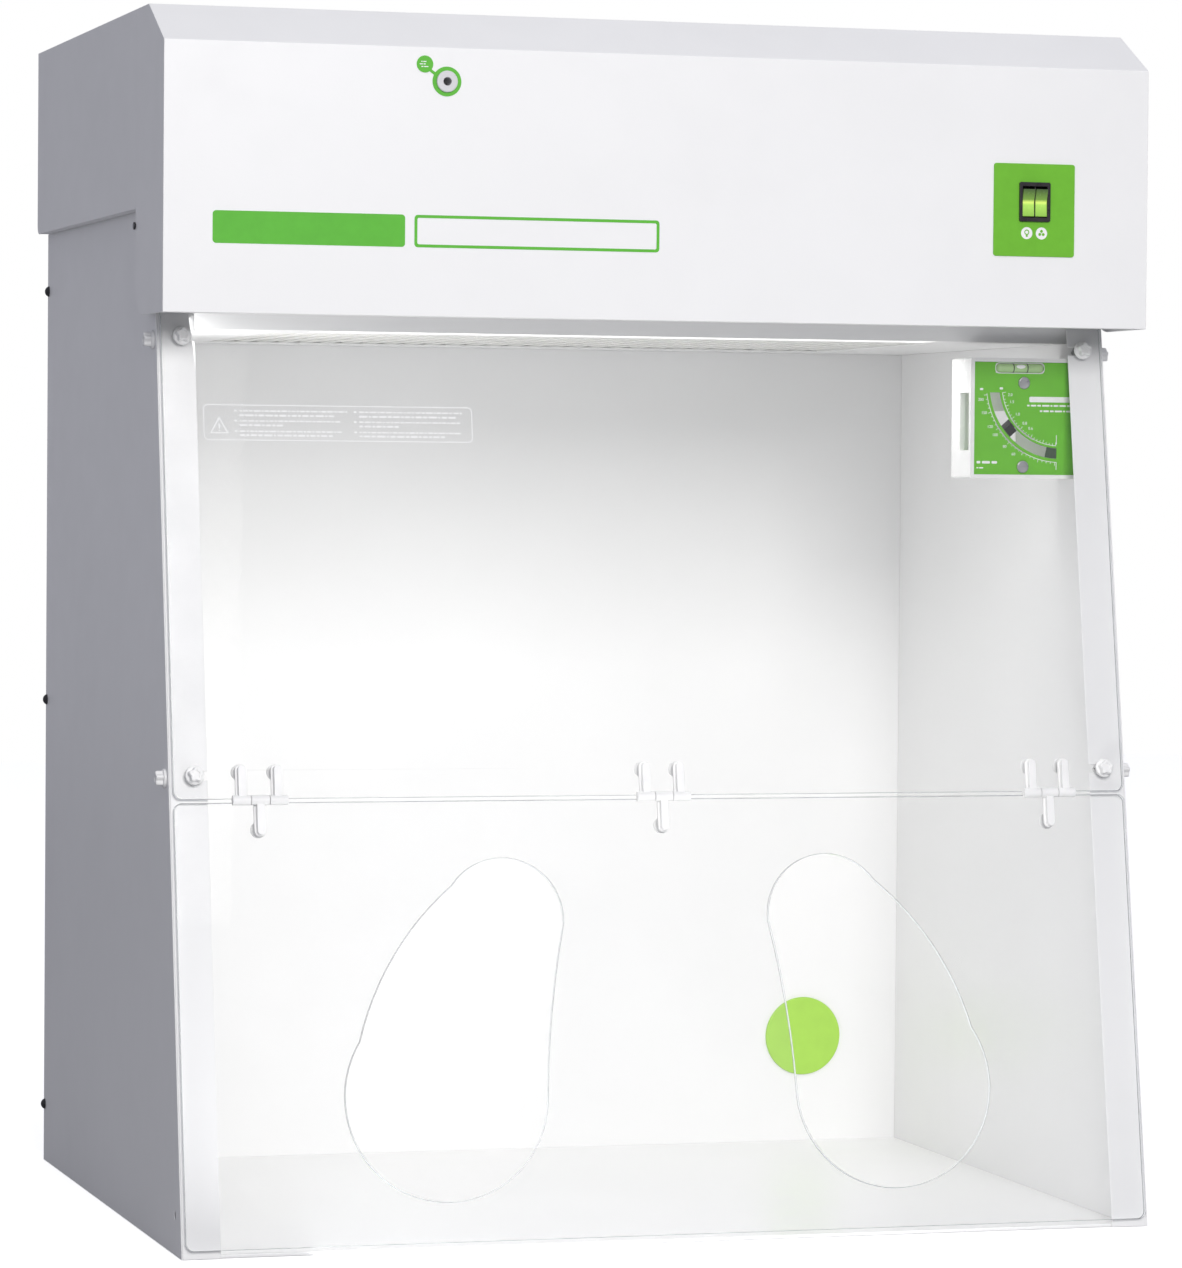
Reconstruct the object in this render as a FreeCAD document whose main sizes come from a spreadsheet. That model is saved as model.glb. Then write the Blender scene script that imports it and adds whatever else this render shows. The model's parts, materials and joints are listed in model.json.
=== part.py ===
import FreeCAD, Part
import math
import os

import Sketcher

# A ductless bench fume hood. Millimetres, +Z up. The front faces -Y and the right side is +X.
# The origin is at the bottom centre of the whole hood.
# Depths are counted backwards from the header's front face, which stands at face_y.

DOCUMENT = FreeCAD.newDocument("fume_hood")

DRIVING_SIZES = {
    # header
    "header_width": 870.0,
    "header_top": 1034.0,
    "header_foot": 775.5,
    "slope_foot": 999.5,
    "slope_depth": 65.0,
    "cover_depth": 117.0,
    "header_depth": 588.0,
    "header_skirt": 865.5,
    "header_sheet": 1.5,
    "face_y": -267.57,
    # cabin and shell
    "cabin_half": 405.0,
    "shell_half": 425.0,
    "cabin_back": 542.5,
    "shell_back": 586.0,
    "side_top": 890.0,
    "ceiling": 765.0,
    "sheet": 1.2,
    "worktop_thick": 3.0,
    # leaning front
    "foot_ahead": 51.0,
    "lean_run": 129.4,
    "post_inner": 392.0,
    "post_sheet": 1.5,
    "post_flange": 25.0,
    "post_top": 845.0,
    "window_half": 422.0,
    "window_thick": 5.0,
    "window_top": 806.0,
    "seam": 376.3,
    "seam_gap": 3.0,
    "flap_foot": 6.5,
    # knobs
    "knob_across": 404.0,
    "knob_high": 768.0,
    "knob_low": 397.8,
    "knob_radius": 8.0,
    "side_knob_back": 13.0,
    "stud_radius": 3.0,
    # hinges
    "hinge_pitch": 350.0,
    "hinge_length": 47.0,
    "hinge_radius": 4.2,
    "hinge_reach": 30.0,
    "hinge_pin": 1.5,
    # air path
    "inlet_half": 300.0,
    "inlet_front": 170.0,
    "inlet_back": 490.0,
    "filter_half": 320.0,
    "filter_front": 150.0,
    "filter_back": 510.0,
    "filter_foot": 779.0,
    "filter_rise": 90.0,
    "fan_depth": 330.0,
    "fan_inlet": 84.0,
    "fan_radius": 140.0,
    # switch
    "switch_x": 329.5,
    "switch_z": 883.5,
    # air-speed gauge
    "gauge_left": 303.5,
    "gauge_front": 80.0,
    "gauge_foot": 645.0,
    "gauge_width": 101.5,
    "gauge_rise": 105.9,
    "gauge_deep": 48.0,
    "gauge_pivot_x": 387.0,
    "gauge_pivot_z": 728.0,
    # port in the back wall
    "port_x": 309.5,
    "port_z": 104.5,
    "port_radius": 37.5,
}

VANE_REST_ANGLE = 48.3
ROCKER_REST_ANGLE = 7.0
BACK_SCREW_HEIGHTS = (53.0, 432.0, 812.5)
BACK_SCREW_HOLE = 1.8
BACK_SCREW_DOME = 5.2
BACK_FLANGE = 14.0
PORT_X = -195.0
PORT_Z = 971.5
LAMP_HALF = 280.0
LAMP_FRONT = 104.0
LAMP_BACK = 142.0
BLADE_COUNT = 7
LEG_OFFSET = 15.2
RIVET_REACH = 24.0
RIVET_CAP = 6.8
GAUGE_SCREWS = ((50.2, 84.2), (49.6, 10.4))
DIAL_RIM = 3.4
DIAL_RECESS = 2.0
DIAL_THICK = 1.5
CHANNEL_OUTER = 65.3
CHANNEL_INNER = 56.0
X_AXIS = FreeCAD.Vector(1, 0, 0)
Y_AXIS = FreeCAD.Vector(0, 1, 0)
Z_AXIS = FreeCAD.Vector(0, 0, 1)
SIDES = {"left": -1, "right": 1}


def make_size_sheet():
    sheet = DOCUMENT.addObject("Spreadsheet::Sheet", "sizes")
    for row, (name, amount) in enumerate(DRIVING_SIZES.items(), start=1):
        sheet.set(f"A{row}", name)
        sheet.set(f"B{row}", str(amount))
        sheet.setAlias(f"B{row}", name)
    DOCUMENT.recompute()


class Size:
    """A length with its present value and the sheet expression that gives it."""

    def __init__(self, value, text):
        self.value = value
        self.text = text

    def __add__(self, other):
        other = as_size(other)
        return Size(self.value + other.value, f"({self.text} + {other.text})")

    def __sub__(self, other):
        other = as_size(other)
        return Size(self.value - other.value, f"({self.text} - {other.text})")

    def __mul__(self, factor):
        factor = as_size(factor)
        return Size(self.value * factor.value, f"({self.text} * {factor.text})")

    def __truediv__(self, divisor):
        divisor = as_size(divisor)
        return Size(self.value / divisor.value, f"({self.text} / {divisor.text})")

    def __neg__(self):
        return Size(-self.value, f"(0 - {self.text})")

    def __radd__(self, other):
        return as_size(other) + self

    def __rsub__(self, other):
        return as_size(other) - self


def as_size(amount):
    if isinstance(amount, Size):
        return amount
    return Size(float(amount), f"({float(amount)!r})")


def size(name):
    return Size(DRIVING_SIZES[name], f"sizes.{name}")


def depth(amount):
    """Y of a point that lies this far behind the header's front face."""
    return size("face_y") + amount


def front_y(height):
    """Y of the leaning front plane at this height."""
    run = as_size(height) * size("lean_run") / size("header_foot")
    return size("face_y") - size("foot_ahead") + run


LEAN = math.atan(DRIVING_SIZES["lean_run"] / DRIVING_SIZES["header_foot"])
make_size_sheet()


# ---------------------------------------------------------------- building blocks

def bind(thing, path, amount):
    amount = as_size(amount)
    thing.setExpression(path, amount.text)


def place(thing, x=0.0, y=0.0, z=0.0, axis=Z_AXIS, angle=0.0):
    position = [as_size(x), as_size(y), as_size(z)]
    base = FreeCAD.Vector(*[part.value for part in position])
    thing.Placement = FreeCAD.Placement(base, FreeCAD.Rotation(axis, angle))
    for letter, part in zip("xyz", position):
        bind(thing, f"Placement.Base.{letter}", part)
    return thing


def lean_back(thing):
    """Tilts a piece built upright about the foot line, so that its Z runs up the leaning front."""
    foot = FreeCAD.Vector(0, front_y(0).value, 0)
    thing.Placement = FreeCAD.Placement(foot, FreeCAD.Rotation(X_AXIS, -math.degrees(LEAN)))
    bind(thing, "Placement.Base.y", front_y(0))
    return thing


def box(name, low, high):
    """A box between two corners, each a triple of sizes."""
    block = DOCUMENT.addObject("Part::Box", name)
    for side, start, end in zip(("Length", "Width", "Height"), low, high):
        span = as_size(end) - as_size(start)
        setattr(block, side, span.value)
        bind(block, side, span)
    return place(block, *low)


def rod(name, radius, length, x, y, z, axis=Z_AXIS):
    """A cylinder that starts at a point and runs along X, Y or Z."""
    cylinder = DOCUMENT.addObject("Part::Cylinder", name)
    radius = as_size(radius)
    length = as_size(length)
    cylinder.Radius = radius.value
    cylinder.Height = length.value
    bind(cylinder, "Radius", radius)
    bind(cylinder, "Height", length)
    turn = FreeCAD.Rotation(Z_AXIS, axis)
    return place(cylinder, x, y, z, turn.Axis, math.degrees(turn.Angle))


def join(name, pieces):
    fused = DOCUMENT.addObject("Part::MultiFuse", name)
    fused.Shapes = pieces
    fused.Refine = True
    return fused


def group(name, pieces):
    """Several separate solids as one object."""
    together = DOCUMENT.addObject("Part::Compound", name)
    together.Links = pieces
    return together


def cut(name, base, tools):
    tool = tools[0]
    if len(tools) > 1:
        tool = group(name + "_tools", tools)
    result = DOCUMENT.addObject("Part::Cut", name)
    result.Base = base
    result.Tool = tool
    return result


def round_edges(name, base, radius, chosen):
    """Fillets the edges of a piece that the chosen function picks."""
    DOCUMENT.recompute()
    fillet = DOCUMENT.addObject("Part::Fillet", name)
    fillet.Base = base
    picked = [i for i, edge in enumerate(base.Shape.Edges, start=1) if chosen(edge)]
    fillet.Edges = [(index, radius, radius) for index in picked]
    return fillet


def runs_along(axis):
    """Chooses the straight edges that run along an axis."""
    def test(edge):
        ends = edge.Vertexes
        if len(ends) != 2:
            return False
        span = ends[1].Point - ends[0].Point
        return span.Length > 0 and abs(span.normalize().dot(axis)) > 0.999
    return test


def prism(name, corners, start, length):
    """A body padded along +X from a closed outline of (y, z) corners tied to the sheet."""
    body = DOCUMENT.addObject("PartDesign::Body", name)
    sketch = body.newObject("Sketcher::SketchObject", name + "_outline")
    plane = [item for item in body.Origin.OriginFeatures if item.Role == "YZ_Plane"][0]
    sketch.AttachmentSupport = [(plane, "")]
    sketch.MapMode = "FlatFace"
    corners = [(as_size(y), as_size(z)) for y, z in corners]
    points = [FreeCAD.Vector(y.value, z.value, 0) for y, z in corners]
    count = len(points)
    for index in range(count):
        sketch.addGeometry(Part.LineSegment(points[index], points[(index + 1) % count]), False)
    for index in range(count):
        sketch.addConstraint(Sketcher.Constraint("Coincident", index, 2, (index + 1) % count, 1))
    for index, corner in enumerate(corners):
        for kind, amount in zip(("DistanceX", "DistanceY"), corner):
            number = sketch.addConstraint(
                Sketcher.Constraint(kind, -1, 1, index, 1, amount.value))
            sketch.setExpression(f"Constraints[{number}]", amount.text)
    pad = body.newObject("PartDesign::Pad", name + "_pad")
    pad.Profile = sketch
    length = as_size(length)
    pad.Length = length.value
    bind(pad, "Length", length)
    return place(body, start)


def mirrored(name, low, high, sign):
    """A box given for the right-hand side, built on the side that sign says."""
    if sign > 0:
        return box(name, low, high)
    return box(name, (-as_size(high[0]), low[1], low[2]), (-as_size(low[0]), high[1], high[2]))


def mirrored_prism(name, corners, inner, outer, sign):
    """A prism between two distances from the middle plane, on the side that sign says."""
    inner = as_size(inner)
    outer = as_size(outer)
    start = inner if sign > 0 else -outer
    return prism(name, corners, start, outer - inner)


NODES = []


def sub_part(name, thing):
    thing.Label = name
    NODES.append(thing)
    return thing


# ---------------------------------------------------------------- shell and cabin

def make_worktop():
    front = front_y(0) + 2.5
    low = (-size("cabin_half"), front, 0)
    high = (size("cabin_half"), depth(size("cabin_back")), size("worktop_thick"))
    sub_part("worktop", box("worktop_sheet", low, high))


def side_knob_yz(level):
    """Y and Z of a side knob's axis, at a knob's level up the leaning front."""
    height = size(level) * math.cos(LEAN) - 2.5
    return front_y(height) + size("side_knob_back"), height


def make_side_panels():
    skin_in = size("shell_half") - size("sheet")
    back = depth(size("shell_back"))
    inner_back = back - size("sheet")
    return_in = size("cabin_half") + size("sheet") + 0.3
    for side, sign in SIDES.items():
        base = "side_panel_" + side
        top = size("side_top")
        outline = [(front_y(0), 0), (back, 0), (back, top), (front_y(top), top)]
        skin = mirrored_prism(base + "_skin", outline, skin_in, size("shell_half"), sign)
        foot_front = front_y(0) + 60.0
        foot = mirrored(base + "_foot", (return_in, foot_front, 0),
                        (skin_in, inner_back, size("sheet")), sign)
        head_front = front_y(top) + 60.0
        head = mirrored(base + "_head", (return_in, head_front, top - size("sheet")),
                        (skin_in, inner_back, top), sign)
        folded = join(base + "_folded", [skin, foot, head])
        holes = []
        for level in ("knob_high", "knob_low"):
            y, z = side_knob_yz(level)
            start = size("shell_half") * sign - 10.0
            holes.append(rod(base + level, size("stud_radius") + 0.4, 20.0, start, y, z, X_AXIS))
        drain_y = front_y(33.0) + 22.5
        start = size("shell_half") * sign - 5.0
        holes.append(rod(base + "_locating_hole", 3.5, 10.0, start, drain_y, 33.0, X_AXIS))
        screw = rod(base + "_cover_screw_hole", 2.1, 10.0, start,
                    depth(size("cover_depth")), 851.5, X_AXIS)
        holes.append(screw)
        for height in BACK_SCREW_HEIGHTS:
            holes.append(rod(base + f"_back_hole_{height:.0f}", BACK_SCREW_HOLE, 10.0,
                             start, back_screw_y(), height, X_AXIS))
        sub_part(base, cut(base, folded, holes))


def make_side_liners():
    inner = size("cabin_half")
    outer = inner + size("sheet")
    behind_post = size("post_sheet") / math.cos(LEAN)
    back = depth(size("cabin_back")) + size("sheet")
    for side, sign in SIDES.items():
        base = "side_liner_" + side
        top = size("ceiling")
        outline = [(front_y(0) + behind_post, 0), (back, 0), (back, top),
                   (front_y(top) + behind_post, top)]
        sheet = mirrored_prism(base + "_sheet", outline, inner, outer, sign)
        notches = []
        for level in ("knob_high", "knob_low"):
            low = (inner - 5.0, -2.0, size(level) - 9.0)
            high = (outer + 5.0, 12.0, size(level) + 9.0)
            notches.append(mirrored(base + level, low, high, sign))
        sub_part(base, cut(base, sheet, [lean_back(group(base + "_notches", notches))]))


def make_posts():
    cos_lean = math.cos(LEAN)
    thick = size("post_sheet") / cos_lean
    flange = size("post_flange") / cos_lean
    top = size("post_top")
    outer = size("shell_half") - size("sheet")
    for side, sign in SIDES.items():
        base = "front_post_" + side
        face_outline = [(front_y(0), 0), (front_y(0) + thick, 0),
                        (front_y(top) + thick, top), (front_y(top), top)]
        flange_outline = [(front_y(0), 0), (front_y(0) + flange, 0),
                          (front_y(top) + flange, top), (front_y(top), top)]
        face = mirrored_prism(base + "_face", face_outline, size("post_inner"), outer, sign)
        web = mirrored_prism(base + "_web", flange_outline,
                             outer - size("post_sheet"), outer, sign)
        folded = join(base + "_folded", [face, web])
        slots = []
        holes = []
        for level in ("knob_high", "knob_low"):
            low = (size("post_inner") - 1.0, -2.0, size(level) - 3.6)
            high = (size("knob_across") + 3.6, 4.0, size(level) + 3.6)
            slots.append(mirrored(base + level + "_slot", low, high, sign))
            y, z = side_knob_yz(level)
            start = outer * sign - 6.0
            holes.append(rod(base + level + "_hole", size("stud_radius") + 0.4, 12.0,
                             start, y, z, X_AXIS))
        holes.append(lean_back(group(base + "_slots", slots)))
        sub_part(base, cut(base, folded, holes))


def make_back():
    outer = depth(size("shell_back")) + size("sheet")
    inner = depth(size("shell_back"))
    half = size("shell_half")
    flat = box("back_panel_flat", (-half, inner, 0), (half, outer, size("header_skirt")))
    return_half = size("cabin_half") - 1.0
    foot = box("back_panel_foot", (-return_half, depth(size("cabin_back")) + 4.0, 0),
               (return_half, inner, size("sheet")))
    pieces = [flat, foot]
    holes = []
    flange_out = half - size("sheet")
    for side, sign in SIDES.items():
        low = (flange_out - size("sheet"), inner - BACK_FLANGE, size("worktop_thick"))
        high = (flange_out, inner, size("header_skirt"))
        pieces.append(mirrored("back_panel_flange_" + side, low, high, sign))
        start = half * sign - 5.0
        for height in BACK_SCREW_HEIGHTS:
            holes.append(rod(f"back_panel_hole_{side}_{height:.0f}", BACK_SCREW_HOLE, 10.0,
                             start, back_screw_y(), height, X_AXIS))
    sub_part("back_panel", cut("back_panel", join("back_panel_sheet", pieces), holes))

    wall_front = depth(size("cabin_back"))
    wall = box("back_wall_sheet", (-size("cabin_half"), wall_front, 0),
               (size("cabin_half"), wall_front + size("sheet"), size("ceiling")))
    port = rod("back_wall_port", size("port_radius") - 3.5, 10.0,
               size("port_x"), wall_front - 5.0, size("port_z"), Y_AXIS)
    sub_part("back_wall", cut("back_wall", wall, [port]))

    screws = []
    for side, sign in SIDES.items():
        for height in BACK_SCREW_HEIGHTS:
            name = f"back_screw_{side}_{height:.0f}"
            shank_x = half - 6.0 if sign > 0 else -half
            shank = rod(name + "_shank", BACK_SCREW_HOLE - 0.1, 6.0,
                        shank_x, back_screw_y(), height, X_AXIS)
            head = DOCUMENT.addObject("Part::Sphere", name + "_head")
            head.Radius = BACK_SCREW_DOME
            dome = place(head, (half - 1.4) * sign, back_screw_y(), height)
            band_x = half if sign > 0 else -half - 6.0
            keep = rod(name + "_dome_band", 6.0, 6.0, band_x, back_screw_y(), height, X_AXIS)
            cap = DOCUMENT.addObject("Part::Common", name + "_dome")
            cap.Base = dome
            cap.Tool = keep
            screws.append(join(name, [shank, cap]))
    sub_part("back_screws", group("back_screw_group", screws))


def back_screw_y():
    """Y of the screws that hold the back panel's flanges inside the side panels."""
    return depth(size("shell_back")) + size("sheet") - 5.3


def make_port_cap():
    wall = depth(size("cabin_back"))
    flange = rod("port_cap_flange", size("port_radius"), 2.6,
                 size("port_x"), wall - 2.6, size("port_z"), Y_AXIS)
    plug = rod("port_cap_plug", size("port_radius") - 3.8, 14.0,
               size("port_x"), wall - 1.0, size("port_z"), Y_AXIS)
    hollow = rod("port_cap_hollow", size("port_radius") - 6.3, 14.0,
                 size("port_x"), wall + 0.5, size("port_z"), Y_AXIS)
    disc = round_edges("port_cap_disc", flange, 1.0, is_front_circle(wall - 2.6))
    sub_part("port_cap", cut("port_cap", join("port_cap_solid", [disc, plug]), [hollow]))


def is_front_circle(y):
    """Chooses the round edge that lies in the plane at this Y."""
    def test(edge):
        return abs(edge.CenterOfMass.y - as_size(y).value) < 1e-4 and len(edge.Vertexes) == 1
    return test


# ---------------------------------------------------------------- header

def make_header_housing():
    half = size("header_width") / 2
    skin = size("header_sheet")
    front = depth(size("cover_depth"))
    back = depth(size("header_depth"))
    top = size("header_top")
    foot = size("header_skirt")
    block = box("header_block", (-half, front, foot), (half, back, top))
    rounded = round_edges("header_block_rounded", block, 8.0, is_lower_rear_edge(back, foot))
    hollow = box("header_hollow", (-half + skin, front - 1.0, foot - 1.0),
                 (half - skin, back - skin, top - skin))
    outlet = box("header_outlet", (-150, depth(180.0), top - 5.0), (150, depth(480.0), top + 5.0))
    inlet_x = -300.0
    inlet = box("header_inlet_hole", (inlet_x - 14.0, back - 5.0, 920.0),
                (inlet_x + 14.0, back + 5.0, 942.0))
    shell = cut("header_shell", rounded, [hollow, outlet, inlet])
    lips = []
    for side, sign in SIDES.items():
        low = (size("shell_half") + 0.5, front, foot)
        high = (half - skin, back - 12.0, foot + skin)
        lips.append(mirrored("header_lip_" + side, low, high, sign))
    sub_part("header_housing", join("header_housing", [shell] + lips))


def is_lower_rear_edge(y, z):
    def test(edge):
        middle = edge.CenterOfMass
        return abs(middle.y - as_size(y).value) < 1e-4 and abs(middle.z - as_size(z).value) < 1e-4
    return test


def make_front_cover():
    half = size("header_width") / 2
    skin = size("header_sheet")
    front = depth(0)
    back = depth(size("cover_depth"))
    slope_back = depth(size("slope_depth"))
    foot = size("header_foot")
    top = size("header_top")
    outline = [(front, foot), (back, foot), (back, top), (slope_back, top),
               (front, size("slope_foot"))]
    block = prism("cover_block", outline, -half, size("header_width"))
    rounded = round_edges("cover_block_rounded", block, 30.0, is_lower_rear_edge(back, foot))
    inner = [(front + skin, foot - 1.0), (back + 1.0, foot - 1.0), (back + 1.0, top - skin),
             (slope_back + 0.4, top - skin), (front + skin, size("slope_foot") - 0.9)]
    hollow = prism("cover_hollow", inner, -half + skin, size("header_width") - skin * 2)
    shell = cut("cover_shell", rounded, [hollow])
    hem = box("cover_hem", (-half + skin, front + skin, foot),
              (half - skin, front + 14.0, foot + skin))
    hemmed = join("cover_hemmed", [shell, hem])
    holes = [
        rod("cover_port_hole", 6.9, 10.0, PORT_X, front - 4.0, PORT_Z, Y_AXIS),
        box("cover_switch_hole", (size("switch_x") - 12.2, front - 4.0, size("switch_z") - 15.2),
            (size("switch_x") + 12.2, front + 6.0, size("switch_z") + 15.2)),
    ]
    for side, sign in SIDES.items():
        start = half * sign - 5.0
        holes.append(rod("cover_notch_" + side, 2.4, 10.0, start, back, 851.5, X_AXIS))
    sub_part("front_cover", cut("front_cover", hemmed, holes))

    screws = []
    for side, sign in SIDES.items():
        name = "cover_screw_" + side
        inner_x = size("shell_half") - 6.0
        shank_length = half - inner_x
        shank_x = inner_x if sign > 0 else -half
        shank = rod(name + "_shank", 2.0, shank_length, shank_x, back, 851.5, X_AXIS)
        head_x = half if sign > 0 else -half - 1.8
        head = rod(name + "_head", 3.2, 1.8, head_x, back, 851.5, X_AXIS)
        screws.append(join(name, [shank, head]))
    sub_part("cover_screws", group("cover_screw_group", screws))


def make_sampling_port():
    face = depth(0)
    disc = rod("port_disc", 9.0, 2.2, PORT_X, face - 2.6, PORT_Z, Y_AXIS)
    soft = round_edges("port_disc_soft", disc, 0.8, is_front_circle(face - 2.6))
    neck = rod("port_neck", 6.6, 18.0, PORT_X, face - 1.0, PORT_Z, Y_AXIS)
    bore = rod("port_bore", 3.5, 40.0, PORT_X, face - 10.0, PORT_Z, Y_AXIS)
    port = cut("port_body", join("port_solid", [soft, neck]), [bore])

    outer = rod("port_nut_block", 9.5, 4.0, PORT_X, face + size("header_sheet"), PORT_Z, Y_AXIS)
    hole = rod("port_nut_hole", 6.65, 10.0, PORT_X, face, PORT_Z, Y_AXIS)
    lock_nut = cut("port_lock_nut", outer, [hole])
    sub_part("sampling_port", group("sampling_port_group", [port, lock_nut]))

    ring = rod("label_ring", 12.4, 0.4, PORT_X, face - 0.4, PORT_Z, Y_AXIS)
    small_x = PORT_X - 19.0
    small_z = PORT_Z + 14.0
    small = rod("label_disc", 7.1, 0.4, small_x, face - 0.4, small_z, Y_AXIS)
    tie = box("label_tie", (0, 0, -1.2), (22.0, 0.4, 1.2))
    place(tie, PORT_X, face - 0.4, PORT_Z, Y_AXIS, -143.6)
    tag = join("label_tag", [ring, small, tie])
    hole = rod("label_hole", 6.9, 10.0, PORT_X, face - 5.0, PORT_Z, Y_AXIS)
    sub_part("port_label", cut("port_label", tag, [hole]))


def make_switch():
    face = depth(0)
    x = size("switch_x")
    z = size("switch_z")
    plate = box("switch_plate_block", (x - 37.3, face - 1.0, z - 47.0), (x + 37.3, face, z + 33.0))
    soft = round_edges("switch_plate_soft", plate, 2.5, runs_along(Y_AXIS))
    window = box("switch_plate_hole", (x - 12.2, face - 5.0, z - 15.2),
                 (x + 12.2, face + 5.0, z + 15.2))
    sub_part("switch_plate", cut("switch_plate", soft, [window]))

    bezel = box("bezel", (x - 14.2, face - 3.2, z - 17.0), (x + 14.2, face - 1.0, z + 17.0))
    bezel_soft = round_edges("bezel_soft", bezel, 1.6, runs_along(Y_AXIS))
    body = box("switch_block", (x - 12.0, face - 1.0, z - 15.0), (x + 12.0, face + 22.0, z + 15.0))
    well = box("switch_well", (x - 11.4, face - 10.0, z - 13.4), (x + 11.4, face + 12.0, z + 13.4))
    mid = box("switch_bridge", (x - 0.3, face - 3.0, z - 14.0), (x + 0.3, face + 13.0, z + 14.0))
    tabs = [
        box(f"switch_tab_{index}", (x + offset - 0.4, face + 22.0, z - 3.0),
            (x + offset + 0.4, face + 32.0, z + 3.0))
        for index, offset in enumerate((-8.0, 0.0, 8.0))
    ]
    solid = join("switch_solid", [bezel_soft, body])
    pins = [rod("rocker_pin", 1.2, 24.0, x - 12.0, face + 3.0, z, X_AXIS)]
    hollow = cut("switch_hollow", solid, [well])
    sub_part("switch_body", join("switch_body", [hollow, mid] + tabs + pins))

    for name, low_x in (("rocker_light", -11.1), ("rocker_fan", 0.6)):
        outline = [(-6.8, 12.0), (-4.6, 0.0), (-6.8, -12.0), (3.0, -9.5), (3.0, 9.5)]
        blank = prism(name + "_blank", outline, low_x, 10.5)
        soft = round_edges(name + "_soft", blank, 0.5, runs_along(X_AXIS))
        bore = rod(name + "_bore", 1.26, 20.0, low_x - 5.0, 0, 0, X_AXIS)
        rocker = cut(name, soft, [bore])
        place(rocker, x, face + 3.0, z, X_AXIS, ROCKER_REST_ANGLE)
        sub_part(name, rocker)


# ---------------------------------------------------------------- ceiling, filters and lamp

def make_ceiling():
    half = size("shell_half") - size("sheet") - size("post_sheet") - 1.0
    foot = size("ceiling")
    front = front_y(foot) + 6.0
    back = depth(size("shell_back")) - size("sheet") - 1.0
    thick = size("header_sheet")
    rise = 14.0
    plate = box("ceiling_sheet", (-half, front + rise, foot), (half, back, foot + thick))
    slope = [(front, foot + rise), (front + rise, foot), (front + rise, foot + thick),
             (front, foot + rise + thick)]
    lip = prism("ceiling_lip", slope, -half, half * 2)
    inlet = box("ceiling_inlet", (-size("inlet_half"), depth(size("inlet_front")), foot - 5.0),
                (size("inlet_half"), depth(size("inlet_back")), foot + 5.0))
    lamp = box("ceiling_lamp", (-LAMP_HALF, depth(LAMP_FRONT), foot - 5.0),
               (LAMP_HALF, depth(LAMP_BACK), foot + 5.0))
    sub_part("ceiling_plate", cut("ceiling_plate", join("ceiling_folded", [plate, lip]),
                                  [inlet, lamp]))


def make_lamp():
    foot = size("ceiling")
    low = (-LAMP_HALF + 0.3, depth(LAMP_FRONT + 0.3), foot)
    high = (LAMP_HALF - 0.3, depth(LAMP_BACK - 0.3), foot + 1.5)
    pane = box("diffuser_pane", low, high)
    rim = box("diffuser_rim", (-LAMP_HALF - 6.0, depth(LAMP_FRONT - 6.0), foot + 1.5),
              (LAMP_HALF + 6.0, depth(LAMP_BACK + 6.0), foot + 3.5))
    sub_part("lamp_diffuser", join("lamp_diffuser", [pane, rim]))

    middle = (LAMP_FRONT + LAMP_BACK) / 2
    tube = rod("lamp_glass", 8.0, 520.0, -260.0, depth(middle), foot + 17.0, X_AXIS)
    sub_part("lamp_tube", tube)

    low = (-275.0, depth(middle - 16.0), foot + 3.5)
    high = (275.0, depth(middle + 16.0), foot + 42.0)
    block = box("lamp_channel_block", low, high)
    hollow = box("lamp_channel_hollow", (-273.8, depth(middle - 14.8), foot - 5.0),
                 (273.8, depth(middle + 14.8), foot + 40.8))
    channel = cut("lamp_channel_shell", block, [hollow])
    holders = []
    for side, sign in SIDES.items():
        low = (260.0, depth(middle - 9.0), foot + 8.0)
        high = (273.8, depth(middle + 9.0), foot + 40.8)
        holders.append(mirrored("lamp_holder_" + side, low, high, sign))
    sub_part("lamp_base", join("lamp_base", [channel] + holders))


def make_filters():
    front = depth(size("filter_front"))
    back = depth(size("filter_back"))
    half = size("filter_half")
    foot = size("filter_foot")
    ceiling_top = size("ceiling") + size("header_sheet")
    block = box("prefilter_block", (-half, front, ceiling_top), (half, back, foot))
    ribs = []
    count = 30
    pitch = (half * 2 - 40.0) / count
    for index in range(count):
        x = -half + 20.0 + pitch * index
        ribs.append(box(f"prefilter_groove_{index}", (x + pitch * 0.3, front + 15.0, ceiling_top - 1),
                        (x + pitch * 0.7, back - 15.0, ceiling_top + 6.0)))
    sub_part("prefilter", cut("prefilter", block, ribs))

    top = foot + size("filter_rise")
    wall = 2.0
    outer = box("cassette_block", (-half, front, foot), (half, back, top))
    inner = box("cassette_hollow", (-half + wall, front + wall, foot - 5.0),
                (half - wall, back - wall, top + 5.0))
    sub_part("filter_cassette", cut("filter_cassette", outer, [inner]))
    bed = box("carbon_block", (-half + wall, front + wall, foot + 1.0),
              (half - wall, back - wall, top - 1.0))
    sub_part("carbon_bed", bed)

    fan_plate_foot = size("side_top")
    outer = box("gasket_block", (-half, front, top), (half, back, fan_plate_foot))
    inner = box("gasket_hollow", (-half + 18.0, front + 18.0, top - 5.0),
                (half - 18.0, back - 18.0, fan_plate_foot + 5.0))
    sub_part("filter_gasket", cut("filter_gasket", outer, [inner]))

    rails = []
    for side, sign in SIDES.items():
        leg = mirrored("rail_leg_" + side, (half + 1.0, front, ceiling_top),
                       (half + 2.5, back, ceiling_top + 34.0), sign)
        base = mirrored("rail_base_" + side, (half + 1.0, front, ceiling_top),
                        (half + 24.0, back, ceiling_top + 1.5), sign)
        rails.append(join("rail_" + side, [leg, base]))
    sub_part("filter_rails", group("rail_group", rails))


# ---------------------------------------------------------------- fan

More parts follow.
